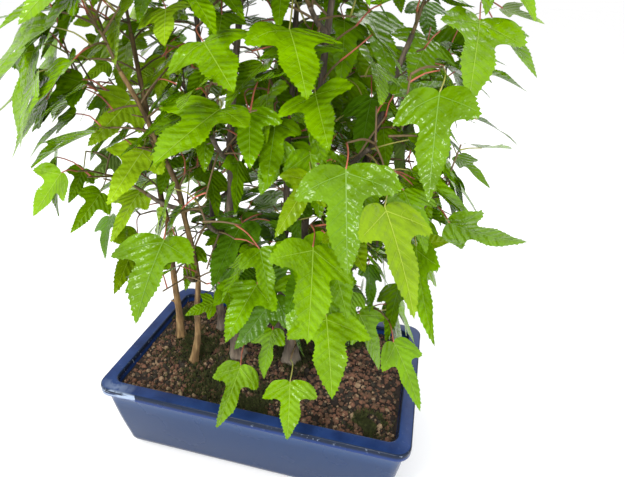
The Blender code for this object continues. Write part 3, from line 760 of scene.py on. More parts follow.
# name: pixels of base, left lobe, right lobe and tip; depth of the base; degrees that the blade
# leans towards the camera; tone, whose lighter and darker steps are partly painted light and shade besides
# the leaf's own colour
PLACED_LEAVES = {
    "front_a": ((313, 245), (269, 274), (349, 285), (309, 344), 0.250, 22, "bright"),
    "front_b": ((326, 315), (285, 342), (364, 340), (333, 399), 0.272, 22, "bright"),
    "front_c": ((346, 167), (305, 190), (397, 195), (347, 276), 0.236, 18, "deep"),
    "front_d": ((384, 205), (360, 254), (424, 231), (421, 316), 0.228, 18, "yellow"),
    "front_e": ((440, 90), (396, 107), (484, 118), (427, 197), 0.236, 20, "deep"),
    "front_f": ((480, 19), (434, 30), (511, 53), (470, 102), 0.262, 36, "bright"),
    "right_a": ((494, 22), (500, 40), (520, 36), (543, 70), 0.270, 30, "mid"),
    "right_b": ((448, 222), (451, 234), (480, 210), (525, 251), 0.268, 12, "deep"),
    "right_c": ((416, 244), (402, 262), (444, 268), (428, 347), 0.262, 14, "mid"),
    "low_a": ((393, 341), (384, 368), (421, 353), (425, 410), 0.318, 18, "mid"),
    "low_b": ((400, 284), (384, 300), (414, 300), (384, 341), 0.345, 16, "deep"),
    "low_c": ((241, 364), (211, 375), (254, 386), (218, 429), 0.318, 16, "bright"),
    "low_d": ((290, 381), (263, 396), (315, 394), (288, 440), 0.325, 20, "bright"),
    "low_e": ((273, 329), (257, 337), (290, 339), (260, 378), 0.352, 18, "mid"),
    "mid_a": ((258, 283), (222, 293), (276, 321), (223, 341), 0.322, 20, "mid"),
    "mid_b": ((243, 222), (213, 236), (265, 244), (208, 284), 0.345, 24, "dark"),
    "left_a": ((165, 238), (118, 234), (202, 255), (129, 320), 0.285, 24, "deep"),
    "left_b": ((193, 246), (176, 268), (203, 262), (187, 290), 0.360, 20, "bright"),
    "shoot_a": ((214, 303), (196, 294), (204, 322), (184, 314), 0.362, 12, "bright"),
    "left_c": ((144, 149), (86, 152), (158, 170), (107, 204), 0.318, 30, "light"),
    "left_d": ((131, 99), (98, 91), (149, 127), (88, 146), 0.318, 30, "light"),
    "mid_c": ((222, 108), (163, 106), (255, 103), (151, 161), 0.255, 34, "bright"),
    "mid_d": ((249, 109), (203, 154), (266, 128), (250, 168), 0.272, 24, "mid"),
    "mid_e": ((268, 93), (255, 112), (290, 88), (262, 140), 0.290, 40, "bright"),
    "top_a": ((289, 28), (245, 39), (333, 25), (309, 92), 0.232, 44, "bright"),
    "mid_f": ((315, 92), (285, 102), (358, 93), (328, 148), 0.262, 44, "bright"),
    "top_b": ((203, 41), (156, 70), (237, 31), (231, 85), 0.262, 44, "bright"),
    "top_c": ((344, 18), (322, 37), (365, 48), (344, 81), 0.300, 34, "mid"),
    "top_d": ((369, 12), (352, 40), (402, 36), (396, 80), 0.310, 34, "mid"),
    "top_e": ((428, 40), (389, 33), (452, 62), (412, 79), 0.300, 40, "mid"),
    "mid_g": ((312, 176), (283, 186), (322, 206), (277, 234), 0.275, 30, "yellow"),
    "mid_h": ((172, 159), (156, 172), (193, 170), (159, 194), 0.360, 30, "deep"),
    "mid_i": ((208, 170), (198, 187), (228, 189), (221, 215), 0.350, 30, "deep"),
    "left_e": ((140, 191), (116, 202), (148, 215), (108, 241), 0.335, 26, "light"),
    "left_f": ((138, 232), (112, 252), (137, 262), (116, 295), 0.350, 20, "yellow"),
    "left_g": ((110, 216), (97, 232), (118, 236), (101, 258), 0.370, 20, "dark"),
    "left_h": ((101, 192), (78, 196), (107, 214), (72, 233), 0.335, 26, "bright"),
    "left_i": ((84, 168), (66, 172), (92, 188), (70, 202), 0.335, 26, "bright"),
    "left_j": ((116, 12), (100, 14), (136, 5), (113, 64), 0.300, 36, "light"),
    "left_k": ((166, 8), (138, 34), (190, 10), (163, 44), 0.300, 44, "light"),
    "top_f": ((186, -12), (176, -2), (222, -8), (215, 23), 0.255, 44, "bright"),
    "top_g": ((284, -22), (262, -12), (305, -14), (276, 24), 0.262, 40, "mid"),
    "right_d": ((457, 156), (462, 170), (474, 158), (492, 187), 0.330, 20, "deep"),
    "mid_j": ((372, 96), (342, 118), (392, 110), (358, 158), 0.320, 30, "dark"),
    "mid_k": ((404, 128), (388, 150), (416, 146), (398, 186), 0.335, 24, "pale"),
    "mid_l": ((368, 264), (356, 280), (380, 282), (372, 312), 0.350, 20, "dark"),
    "mid_m": ((300, 206), (284, 226), (312, 228), (292, 262), 0.330, 24, "dark"),
    "top_h": ((424, 2), (404, 14), (446, 16), (432, 44), 0.320, 34, "dark"),
    "top_i": ((502, 8), (512, 18), (520, 4), (546, 22), 0.262, 20, "pale"),
    "mid_n": ((128, 40), (106, 60), (148, 58), (120, 92), 0.350, 34, "light"),
    "left_l": ((99, 43), (88, 35), (98, 59), (74, 63), 0.330, 24, "light"),
    "left_m": ((107, 61), (91, 61), (107, 80), (83, 82), 0.360, 24, "light"),
    "left_n": ((154, 74), (138, 64), (148, 92), (126, 84), 0.345, 24, "light"),
    "left_o": ((114, 155), (95, 158), (113, 176), (87, 184), 0.375, 20, "pale"),
    "left_p": ((99, 18), (84, 6), (96, 30), (73, 24), 0.330, 24, "light"),
    "left_q": ((166, 58), (150, 66), (176, 74), (158, 98), 0.350, 30, "light"),
    "top_j": ((206, -26), (190, -8), (238, -18), (244, 10), 0.250, 40, "bright"),
    "top_k": ((392, -26), (374, -10), (412, -14), (402, 11), 0.300, 34, "mid"),
    "top_l": ((420, -14), (440, -24), (430, 4), (473, 12), 0.270, 20, "deep"),
    "top_m": ((484, -44), (458, -12), (512, -8), (492, 8), 0.262, 34, "mid"),
    "top_n": ((222, 14), (196, 22), (246, 30), (216, 52), 0.290, 40, "mid"),
    "top_o": ((335, -30), (312, -8), (352, -14), (330, 22), 0.300, 34, "mid"),
    "top_p": ((150, -22), (124, -6), (164, -8), (136, 18), 0.300, 34, "mid"),
    "mid_o": ((178, 139), (168, 148), (180, 158), (152, 167), 0.310, 24, "mid"),
    "mid_p": ((276, 120), (262, 138), (288, 140), (266, 187), 0.285, 30, "deep"),
    "mid_q": ((206, 118), (190, 134), (224, 132), (204, 172), 0.300, 26, "deep"),
    "mid_r": ((382, 120), (362, 132), (396, 136), (388, 168), 0.325, 28, "deep"),
    "young_a": ((178, 98), (173, 93), (180, 92), (171, 81), 0.338, 10, "pale"),
    "young_b": ((180, 98), (182, 92), (189, 95), (193, 76), 0.338, 10, "pale"),
    "rust_a": ((386, 106), (376, 114), (395, 113), (381, 124), 0.322, 12, "rust"),
    "mid_s": ((238, 160), (222, 170), (252, 176), (236, 214), 0.310, 26, "mid"),
    "mid_t": ((352, 292), (336, 300), (364, 304), (350, 332), 0.330, 20, "mid"),
}
# ellipses of sky or bare soil in the photograph: middle, half width, half height
CLEAR_SPOTS = {
    "between_stems": ((190, 258), 20, 42),
    "soil_left": ((105, 330), 62, 38),
    "left_low": ((92, 272), 20, 32),
    "soil_stems": ((186, 350), 40, 52),
    "right_high": ((508, 150), 46, 66),
    "right_mid": ((482, 140), 34, 40),
    "right_low": ((484, 262), 40, 34),
    "right_floor": ((500, 330), 62, 90),
    "pot_front": ((270, 420), 170, 74),
    "gap_a": ((421, 15), 13, 12),
    "gap_b": ((294, 13), 13, 13),
    "gap_c": ((373, 277), 10, 22),
    "gap_d": ((231, 52), 9, 15),
    "gap_e": ((100, 81), 15, 10),
    "gap_f": ((137, 54), 6, 14),
    "gap_g": ((152, 213), 7, 15),
    "gap_h": ((84, 72), 9, 10),
    "gap_i": ((84, 115), 9, 9),
    "gap_j": ((253, 55), 9, 9),
    "gap_k": ((111, 203), 12, 16),
    "gap_l": ((485, 14), 9, 7),
    "gap_m": ((192, 33), 9, 12),
    "gap_n": ((188, 198), 13, 6),
    "gap_o": ((508, 26), 11, 12),
    "gap_p": ((84, 34), 10, 9),
    "gap_q": ((238, 182), 4, 12),
    "gap_r": ((408, 125), 6, 8),
    "gap_s": ((411, 162), 5, 9),
    "gap_t": ((155, 118), 6, 7),
    "gap_u": ((258, 12), 6, 7),
    "gap_v": ((437, 19), 6, 8),
    "gap_w": ((82, 145), 7, 20),
    "gap_x": ((266, 242), 4, 7),
}
CLEAR_CELLS = 1  # places of a clear spot that a leaf may still cover
COVERED_SHARE = 0.10  # of a leaf that may lie before a placed one
BLOCK_STEP = 4  # pixels of the photograph for each place of the blocking map
WIDTH_LIMITS = (0.80, 1.25)
LOBE_PLACES = ((0.42, 0.30), (-0.42, 0.30))  # tips of a blade's side lobes, to the side and forward
ROLL_TRIALS = range(-75, 76, 5)  # degrees about a blade's middle line
WIDTH_TRIALS = 6


def leaf_from_pixels(base, left, right, tip, depth, lean, tone):
    """A leaf whose base, lobes and tip fall on these pixels of the photograph."""
    start = pixel_point(base, depth)
    run = math.hypot(tip[0] - base[0], tip[1] - base[1]) * depth / FOCAL_PIXELS
    end = pixel_point(tip, depth - run * math.tan(math.radians(lean)))
    length = (end - start).length
    along = (end - start).normalized()
    toward = (CAMERA_PLACE - start).normalized()
    facing = (toward - along * toward.dot(along)).normalized()
    wanted = np.array([left, right], float)

    def gap(trial):
        pixels, _ = to_pixels(trial.places([(x * trial.width, y) for x, y in LOBE_PLACES]))
        return np.abs(pixels - wanted).sum()

    trials = []
    for roll in ROLL_TRIALS:
        angle = math.radians(roll)
        normal = facing * math.cos(angle) + along.cross(facing) * math.sin(angle)
        for width in np.linspace(*WIDTH_LIMITS, WIDTH_TRIALS):
            trials.append(Leaf(start, start, along, normal, length, tone, float(width)))
    best = min(trials, key=gap)
    best.normal = best.normal.normalized()
    return best


class Seen:
    """A coarse map of the photograph: how near a leaf of the rule may come at each place."""

    def __init__(self, placed):
        self.near = np.zeros((IMAGE_HEIGHT // BLOCK_STEP + 1, IMAGE_WIDTH // BLOCK_STEP + 1))
        rows, columns = np.indices(self.near.shape) * BLOCK_STEP + BLOCK_STEP / 2
        for (x, y), half_width, half_height in CLEAR_SPOTS.values():
            inside = ((columns - x) / half_width) ** 2 + ((rows - y) / half_height) ** 2 < 1
            self.near[inside] = np.inf
        for leaf in placed:
            pixels, depths = to_pixels(leaf.places(LEAF_RIM))
            inside = self.inside(pixels, columns, rows)
            self.near[inside] = np.maximum(self.near[inside], depths.max())

    @staticmethod
    def inside(pixels, columns, rows):
        """Which places lie in a polygon, by crossings to the right of them."""
        found = np.zeros(columns.shape, bool)
        for (x0, y0), (x1, y1) in zip(pixels, np.roll(pixels, -1, axis=0)):
            if y0 != y1:
                crossing = x0 + (rows - y0) * (x1 - x0) / (y1 - y0)
                found ^= ((rows < max(y0, y1)) & (rows >= min(y0, y1))) & (columns < crossing)
        return found

    def blocked(self, leaf):
        """Whether a leaf would cover a placed leaf, or a spot that the photograph shows clear."""
        pixels, depths = to_pixels(leaf.places(LEAF_RIM))
        low = np.maximum((pixels.min(axis=0) // BLOCK_STEP).astype(int), 0)
        high = (pixels.max(axis=0) // BLOCK_STEP).astype(int) + 1
        near = self.near[low[1] : max(high[1], 0), low[0] : max(high[0], 0)]
        if not near.size:
            return False
        rows, columns = (np.indices(near.shape) + low[::-1, None, None]) * BLOCK_STEP + BLOCK_STEP / 2
        covered = near[self.inside(pixels, columns, rows)]
        if not covered.size:
            return False
        before = (covered > depths.mean()).mean()
        return bool(np.isinf(covered).sum() > CLEAR_CELLS or before > COVERED_SHARE)


# ---- twigs that carry the placed leaves ----

HELD_STALK = 0.024  # stalk of a placed leaf
HELD_BACK = 0.3  # it runs back along the blade,
HELD_UP = 0.25  # up
HELD_AWAY = 0.75  # and away from the camera
HELD_RADII = tuple(0.0007 * share for share in (1.25, 1.1, 1.0, 0.9, 0.75))
HELD_ARCH = 0.10  # rise of its twig, as a share of the gap that the twig spans
HELD_KNEE = 0.3  # share of that rise at the twig's first quarter
AHEAD_COST = 2  # wood ahead of a blade counts as farther away
NEAR_WOOD = 0.012  # wood this near bears the stalk itself
WOOD_STEP = 0.006


def wood_samples(points):
    """Points along a course, close together."""
    found = []
    for low, high in zip(points, points[1:]):
        count = max(int((high - low).length / WOOD_STEP), 1)
        found += [low.lerp(high, k / count) for k in range(count)]
    return found + [points[-1]]


def nearest_wood(leaf, places):
    """Distance and number of the wood nearest to a leaf's root, wood behind its blade first."""
    apart = np.linalg.norm(places - np.array(leaf.root), axis=1)
    ahead = (places - np.array(leaf.base)) @ np.array(leaf.along)
    apart = apart + np.maximum(ahead, 0.0) * AHEAD_COST
    return apart.min(), int(apart.argmin())


def hold_placed(leaves, wood):
    """Gives each placed leaf a stalk, and a twig from the nearest wood where that is far away."""
    for leaf in leaves:
        away = (leaf.base - CAMERA_PLACE).normalized()
        way = (leaf.along * -HELD_BACK + upward(HELD_UP) + away * HELD_AWAY).normalized()
        leaf.root = leaf.base + way * HELD_STALK
    places = as_array(wood)
    waiting = list(leaves)
    twigs = []
    while waiting:
        nearest = [nearest_wood(leaf, places) for leaf in waiting]
        chosen = int(np.argmin([gap for gap, _ in nearest]))
        gap, number = nearest[chosen]
        leaf = waiting.pop(chosen)
        source = Vector(places[number])
        if gap < NEAR_WOOD:
            leaf.root = source
            continue
        rise = upward(HELD_ARCH * gap)
        middle = source.lerp(leaf.root, 0.5) + rise
        knee = source.lerp(middle, 0.5) + rise * HELD_KNEE
        course = [source, knee, middle, middle.lerp(leaf.root, 0.5), leaf.root]
        twigs.append((course, HELD_RADII))
        places = np.vstack([places, as_array(wood_samples(course))])
    return twigs


# ---- meshes ----

TUBE_ACROSS = Vector((0.31, 0.95, 0.0))  # way that the corners of a dressed tube start from


def add_object(name, data):
    obj = bpy.data.objects.new(name, data)
    bpy.context.scene.collection.objects.link(obj)
    return obj


def add_piece(name, mesh, finish):
    """Adds a mesh to the part as a piece in its finish."""
    mesh.materials.append(finish)
    obj = add_object(name, mesh)
    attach(obj, "root")
    return obj


class Batch:
    """Many small shapes gathered into one mesh."""

    def __init__(self):
        self.vertices = []
        self.triangles = []
        self.uvs = []
        self.count = 0

    def add(self, vertices, triangles, uv=None):
        self.vertices.append(vertices)
        self.triangles.append(triangles + self.count)
        self.uvs.append(np.zeros((len(vertices), 2)) if uv is None else uv)
        self.count += len(vertices)

    def arrays(self):
        return np.concatenate(self.vertices), np.concatenate(self.triangles)

    def piece(self, name, finish, slot, smooth=True):
        vertices, triangles = self.arrays()
        mesh = bpy.data.meshes.new(name)
        mesh.from_pydata(vertices.tolist(), [], triangles.tolist())
        layer = mesh.uv_layers.new(name="leaf")
        layer.data.foreach_set("uv", np.concatenate(self.uvs)[triangles.ravel()].ravel())
        if smooth:
            mesh.shade_smooth()
        return add_piece(name, mesh, finish)


def curve_place(points, k, share):
    """A place between point k and the next, on the smooth curve through all points."""
    p0, p1 = points[max(k - 1, 0)], points[k]
    p2, p3 = points[k + 1], points[min(k + 2, len(points) - 1)]
    curve = 2 * p1 + (p2 - p0) * share + (2 * p0 - 5 * p1 + 4 * p2 - p3) * share * share
    return 0.5 * (curve + (3 * p1 - p0 - 3 * p2 + p3) * share**3)


def smooth_course(points, radii, step):
    """A smooth curve through a limb's points, closely sampled, with its radii."""
    course, widths = [], []
    for k in range(len(points) - 1):
        count = max(int((points[k + 1] - points[k]).length / step), 1)
        for j in range(count):
            share = j / count
            course.append(curve_place(points, k, share))
            widths.append(radii[k] + (radii[k + 1] - radii[k]) * share)
    return course + [points[-1]], widths + [radii[-1]]


def tube_arrays(course, radii, sides, swell=None):
    """Vertices and triangles of a closed tube, its two end points last."""
    rings = tube_rings(course, radii, sides, TUBE_ACROSS, swell)
    vertices = as_array([point for ring in rings for point in ring] + [course[0], course[-1]])
    low = np.arange((len(course) - 1) * sides)
    after = np.where(low % sides == sides - 1, low - sides + 1, low + 1)
    first = np.arange(sides)
    second = np.roll(first, -1)
    last = (len(course) - 1) * sides
    foot, head = len(vertices) - 2, len(vertices) - 1
    triangles = np.concatenate([
        np.stack([low, after, after + sides], axis=1),
        np.stack([low, after + sides, low + sides], axis=1),
        np.stack([second, first, np.full(sides, foot)], axis=1),
        np.stack([last + first, last + second, np.full(sides, head)], axis=1),
    ])
    return vertices, triangles


# ---- leaf blades ----

HALF_OUTLINE = (  # half of a blade of unit length, base to tip, as side and forward
    (0.0, 0.030),
    (0.060, -0.015),
    (0.165, -0.018),
    (0.280, 0.020),
    (0.360, 0.105),
    (0.405, 0.205),
    (0.432, 0.298),
    (0.350, 0.320),
    (0.258, 0.316),
    (0.184, 0.340),
    (0.168, 0.410),
    (0.182, 0.500),
    (0.180, 0.590),
    (0.146, 0.700),
    (0.096, 0.810),
    (0.045, 0.915),
    (0.0, 1.0),
)
OUTLINE_STEPS = 6
OUTLINE_SCATTER = 0.008  # chance shift of the outline's points along the blade
SCATTER_RISE = 9  # how fast it grows from the middle line
LOBE_SPREAD = (0.94, 1.06)  # chance width of the side lobes
LOBE_LIFT = (-0.04, 0.05)  # and how far forward they reach
LOBE_LEVEL = 0.2  # the side lobes lie about this level,
LOBE_HALF = 0.25  # this far up and down,
LOBE_OUT = 0.3  # and are full beyond this far out
MIDDLE_LOBE = 0.30  # the middle lobe begins here
MIDDLE_LOBE_RISE = 0.10
SLIMNESS = (0.0, 0.24)  # how much narrower a blade's middle lobe is
TOOTH = 0.017
TOOTH_SPREAD = (0.4, 1.5)
TOOTH_PATTERN = (0.0, 0.5, 1.0)  # a tooth leans towards the tip and drops back
TOOTHED = (4.0, 15.6)  # stretch of the outline's spans that has teeth
SINUS = (7.6, 9.8)  # where the outline turns in between the lobes it is smooth
BLADE_VARIANTS = 6
HUB = 0.07  # where the ribs of a blade's mesh meet
RIB_STEP = 0.09
LOBE_TIP = (0.40, 0.280)
INNER_ROWS = np.arange(0.06, 0.95, RIB_STEP)  # grid of a blade's inner points
INNER_COLUMNS = (-0.32, -0.22, -0.11, 0.11, 0.22, 0.32)
INNER_SCATTER = 0.012
MARGIN_CLEAR = 0.035  # clear space from them to the margin
RIB_CLEAR = 0.045  # and to the ribs and each other
VEIN_FORK = 0.06  # where the veins of the side lobes leave the midrib
MIDRIB = np.linspace(0.02, 0.97, 13)
LOBE_RIB = np.linspace(0, 0.97, 8)
SIDE_VEINS = ((0.17, 0.13), (0.29, 0.14), (0.41, 0.15), (0.53, 0.145), (0.65, 0.12), (0.77, 0.085))
SIDE_VEIN_SCATTER = 0.015
SIDE_VEIN_SHARES = (0.0, 0.35, 0.7, 1.0)
SIDE_VEIN_SLOPE = 0.75
SIDE_VEIN_BEND = 0.25
LOBE_VEINS = (0.34, 0.58, 0.80)
LOBE_VEIN_SIZE = 0.10
LOBE_VEIN_TAPER = 1.1
LOBE_VEIN_COURSES = (  # a pair of veins that leaves a side lobe's rib, backward and forward
    ((0.0, 0.0), (0.5, -0.5), (1.0, -0.7)),
    ((0.0, 0.0), (0.3, 0.6), (0.7, 1.0)),
)
MIDRIB_WIDTH = 0.0062
LOBE_RIB_WIDTH = 0.0044
SIDE_VEIN_WIDTH = 0.0024
VEIN_END = 0.28  # share of its width that a vein ends with
VEIN_LIFT = 0.0045


def half_margin(rng):
    """One side of a blade's margin with its teeth, each blade's a little different."""
    spread = rng.uniform(*LOBE_SPREAD)
    reach = rng.uniform(*LOBE_LIFT)
    slimness = rng.uniform(*SLIMNESS)
    points = []
    for x, y in HALF_OUTLINE:
        lobe = max(0.0, 1 - abs(y - LOBE_LEVEL) / LOBE_HALF) * min(x / LOBE_OUT, 1.0)
        middle = min(max((y - MIDDLE_LOBE) / MIDDLE_LOBE_RISE, 0.0), 1.0)
        width = (1 + (spread - 1) * lobe) * (1 - slimness * middle)
        shift = rng.uniform(-OUTLINE_SCATTER, OUTLINE_SCATTER) * min(x * SCATTER_RISE, 1)
        points.append(np.array((x * width, y + reach * lobe + shift)))
    places = [(k, j / OUTLINE_STEPS) for k in range(len(points) - 1) for j in range(OUTLINE_STEPS)]
    samples = np.array([curve_place(points, k, share) for k, share in places] + [points[-1]])
    spans = [k + share for k, share in places] + [len(points) - 1.0]
    after = np.roll(samples, -1, axis=0) - np.roll(samples, 1, axis=0)
    after[0] = after[-1] = (0.0, 1.0)
    out = np.stack([after[:, 1], -after[:, 0]], axis=1)
    out /= np.linalg.norm(out, axis=1)[:, None]
    start = rng.randrange(len(TOOTH_PATTERN))
    size = 1.0
    for k, span in enumerate(spans):
        part = TOOTH_PATTERN[(k + start) % len(TOOTH_PATTERN)]
        if not part:
            size = rng.uniform(*TOOTH_SPREAD)
        if TOOTHED[0] < span < TOOTHED[1] and not SINUS[0] < span < SINUS[1]:
            samples[k] += out[k] * TOOTH * size * part
    return samples


def inside_margin(margin, point, clearance):
    """Whether a 2D point lies inside the margin, clear of it."""
    x, y = point
    x0, y0 = margin[:, 0], margin[:, 1]
    x1, y1 = np.roll(x0, -1), np.roll(y0, -1)
    straddles = (y0 > y) != (y1 > y)
    rise = np.where(straddles, y1 - y0, 1.0)
    crossing = x0 + (y - y0) * (x1 - x0) / rise
    if not (straddles & (x < crossing)).sum() % 2:
        return False
    return bool(np.hypot(x0 - x, y0 - y).min() > clearance)


def blade_template(rng):
    """Flat vertices and triangles of one blade, with edges along its three ribs."""
    right = half_margin(rng)
    left = half_margin(rng)[::-1] * (-1, 1)
    margin = np.concatenate([right, left[1:-1]])
    points = [tuple(point) for point in margin]
    tip = len(right) - 1
    hub = len(points)
    points.append((0.0, HUB))
    edges = []
    for x, y in ((0.0, 1.0), LOBE_TIP, (-LOBE_TIP[0], LOBE_TIP[1])):
        count = int(math.hypot(x, y - HUB) / RIB_STEP)
        previous = hub
        for k in range(1, count):
            share = k / count
            edges.append((previous, len(points)))
            previous = len(points)
            points.append((x * share, HUB + (y - HUB) * share))
        if x == 0.0:
            edges.append((previous, tip))
    edges.append((0, hub))
    for y in INNER_ROWS:
        for x in INNER_COLUMNS:
            shifts = [rng.uniform(-INNER_SCATTER, INNER_SCATTER) for _ in range(2)]
            spot = (x + shifts[0], y + shifts[1])
            near = min(math.dist(spot, other) for other in points[hub:])
            if inside_margin(margin, spot, MARGIN_CLEAR) and near > RIB_CLEAR:
                points.append(spot)
    flat = [Vector(point) for point in points]
    made, _, faces, *_ = delaunay_2d_cdt(flat, edges, [list(range(hub))], 0, CDT_REACH, False)
    made = as_array(made)
    kept = [face for face in faces if inside_margin(margin, made[face].mean(axis=0), 0.0)]
    return made, np.array(kept)


def vein_strip(points, width):
    """A strip along a vein, as flat vertices and triangles, that narrows to its end."""
    course = np.array(points)
    way = np.gradient(course, axis=0)
    way /= np.linalg.norm(way, axis=1)[:, None]
    side = np.stack([-way[:, 1], way[:, 0]], axis=1)
    count = len(course)
    half = (width * np.linspace(1.0, VEIN_END, count))[:, None]
    low = np.arange(count - 1)
    triangles = np.concatenate([
        np.stack([low + count, low + count + 1, low + 1], axis=1),
        np.stack([low + count, low + 1, low], axis=1),
    ])
    return np.concatenate([course + side * half, course - side * half]), triangles


def vein_templates(rng):
    """A blade's ribs, and its finer veins, each as flat vertices and triangles."""
    ribs, veins = Batch(), Batch()
    ribs.add(*vein_strip([(0.0, y) for y in MIDRIB], MIDRIB_WIDTH))
    for sign in (1, -1):
        def on_rib(share):
            return sign * LOBE_TIP[0] * share, VEIN_FORK + (LOBE_TIP[1] - VEIN_FORK) * share

        ribs.add(*vein_strip([on_rib(share) for share in LOBE_RIB], LOBE_RIB_WIDTH))
        for y, reach in SIDE_VEINS:
            start = y + rng.uniform(-SIDE_VEIN_SCATTER, SIDE_VEIN_SCATTER)
            bent = []
            for t in SIDE_VEIN_SHARES:
                rise = SIDE_VEIN_SLOPE * t + SIDE_VEIN_BEND * t * t
                bent.append((sign * reach * t, start + reach * rise))
            veins.add(*vein_strip(bent, SIDE_VEIN_WIDTH))
        for share in LOBE_VEINS:
            x, y = on_rib(share)
            size = LOBE_VEIN_SIZE * (LOBE_VEIN_TAPER - share)
            for course in LOBE_VEIN_COURSES:
                points = [(x + sign * size * out, y + size * up) for out, up in course]
                veins.add(*vein_strip(points, SIDE_VEIN_WIDTH))
    return ribs.arrays(), veins.arrays()


FOLD = (0.10, 0.34)  # limits that a blade's form is drawn from, in shares of its length
CURL = (0.05, 0.34)
DROOP = (0.1, 0.5)
WAVE = (0.010, 0.028)
WAVE_PHASE = (0, 6.3)  # radians
TWIST = (-0.12, 0.12)
FOLD_EASE = 0.35  # the fold opens by this share towards the tip
CURL_START = 0.15
CURL_SHARE = 0.6
DROOP_START = 0.16  # the margin droops beyond this far out
DROOP_POWER = 1.6
WAVES_ALONG = 8.5
WAVES_ACROSS = 4
WAVE_RISE = 5  # how fast the waves grow from the middle line
WAVE_LIMIT = 1.2


class Form:
    """How one blade is folded, curled and waved, drawn by chance."""

    def __init__(self, rng):
        self.fold = rng.uniform(*FOLD)
        self.curl = rng.uniform(*CURL)
        self.droop = rng.uniform(*DROOP)
        self.wave = rng.uniform(*WAVE)
        self.phase = rng.uniform(*WAVE_PHASE)
        self.twist = rng.uniform(*TWIST)

    def height(self, x, y):
        out = np.abs(x)
        waves = np.sin(WAVES_ALONG * y + self.phase + WAVES_ACROSS * x)
        lift = self.fold * out * (1 - FOLD_EASE * y)
        lift -= self.curl * (y - CURL_START) ** 2 * CURL_SHARE
        lift -= self.droop * np.maximum(out - DROOP_START, 0.0) ** DROOP_POWER
        lift += self.wave * waves * np.minimum(out * WAVE_RISE, WAVE_LIMIT)
        return lift + self.twist * x * y


def place_flat(flat, leaf, form, lift=0.0):
    """Flat blade vertices, set in the leaf's place and form."""
    x = (flat[:, 0] * leaf.width)[:, None]
    y = flat[:, 1][:, None]
    height = form.height(x, y) + lift
    side, along, normal = (np.array(way) for way in (leaf.along.cross(leaf.normal), leaf.along, leaf.normal))
    return np.array(leaf.base) + (x * side + y * along + height * normal) * leaf.length


# ---- bark, twigs and stalks ----

BARK_STEP = 0.0016
BARK_SIDES = 20
BARK_TURN = 6.28  # radians that the ways round a limb are drawn from
RIDGE_DEPTH = 0.055
RIDGES_AROUND = 2.3  # scales of their noise around and along a limb
RIDGES_ALONG = 130
LUMP_SHARE = 1.4  # depth of the coarse lumps over the ridges'
LUMPS_AROUND = 0.8
LUMPS_ALONG = 45
JOINT_SPACING = (0.016, 0.030)
JOINT_SIZE = (0.5, 1.0)
JOINT_REACH = 0.0016
JOINT_SWELL = 0.16
JOINT_UNEVEN = 0.5  # how much more a joint swells on two sides
ROOT_RIBS = 5
ROOT_RIB_DEPTH = 0.12
ROOT_RIB_REACH = 0.005
STUB_JOINT = 0.72  # joints larger than this keep the stub of a lost twig,
STUB_START = 0.02  # beyond this length of their limb
STUB_LENGTH = (0.004, 0.009)
STUB_LEAN = 0.7
STUB_SINK = 0.6  # it starts at this share of the limb's radius
STUB_RADIUS = 0.38  # its radius over the limb's
STUB_TAPER = (1.0, 0.9, 0.6)
STUB_SIDES = 8
TWIG_STEP = 0.003
DRESSED_TWIG_SIDES = 6
STALK_RADII = (0.00062, 0.00044, 0.00040)
STALK_STEP = 0.0035
STALK_SIDES = 5
STALK_SWAY = 0.1  # sideways shift of a stalk's middle, over its length
STALK_ARCH = (0.02, 0.16)  # its arch upward at the middle, over its length
STALK_ON_RIB = 0.02  # share of the blade that the stalk reaches into


def bark_noise(angle, around, along):
    return noise.noise(Vector((math.cos(angle) * around, math.sin(angle) * around, along)))


def stub_arrays(course, widths, k, way, rng):
    """The stub of a lost twig at a joint."""
    along = (course[min(k + 1, len(course) - 1)] - course[k - 1]).normalized()
    side = along.orthogonal().normalized()
    side = side * math.cos(way) + along.cross(side) * math.sin(way)
    root = course[k] + side * widths[k] * STUB_SINK
    tip = root + (side + along * STUB_LEAN).normalized() * rng.uniform(*STUB_LENGTH)
    radius = widths[k] * STUB_RADIUS
    return tube_arrays([root, root.lerp(tip, 0.5), tip], [radius * share for share in STUB_TAPER], STUB_SIDES)


def bark_tube(batch, points, radii, seed, foot=False):
    """A limb in bark: ridges along it, swollen joints with stubs, and ribbed roots at a foot."""
    rng = random.Random(seed)
    course, widths = smooth_course(points, radii, BARK_STEP)
    lengths = np.cumsum([0.0] + [(high - low).length for low, high in zip(course, course[1:])])
    joints = []
    place = rng.uniform(*JOINT_SPACING)
    while place < lengths[-1]:
        joints.append((place, rng.uniform(*JOINT_SIZE), rng.uniform(0, BARK_TURN)))
        place += rng.uniform(*JOINT_SPACING)
    phase = rng.uniform(0, BARK_TURN)

    def swell(k, angle):
        along = lengths[k]
        ridges = bark_noise(angle, RIDGES_AROUND, along * RIDGES_ALONG + seed)
        lumps = bark_noise(angle, LUMPS_AROUND, along * LUMPS_ALONG - seed)
        factor = 1 + RIDGE_DEPTH * (ridges + LUMP_SHARE * lumps)
        for place, size, way in joints:
            near = math.exp(-(((along - place) / JOINT_REACH) ** 2))
            factor += JOINT_SWELL * size * near * (1 + JOINT_UNEVEN * math.cos(2 * (angle - way)))
        if foot:
            factor += ROOT_RIB_DEPTH * math.exp(-along / ROOT_RIB_REACH) * math.cos(ROOT_RIBS * angle + phase)
        return factor

    batch.add(*tube_arrays(course, widths, BARK_SIDES, swell))
    for place, size, way in joints:
        if size > STUB_JOINT and place > STUB_START:
            k = int(np.searchsorted(lengths, place))
            batch.add(*stub_arrays(course, widths, k, way, rng))


def plain_tube(batch, points, radii, step, sides):
    course, widths = smooth_course(points, radii, step)
    batch.add(*tube_arrays(course, widths, sides))


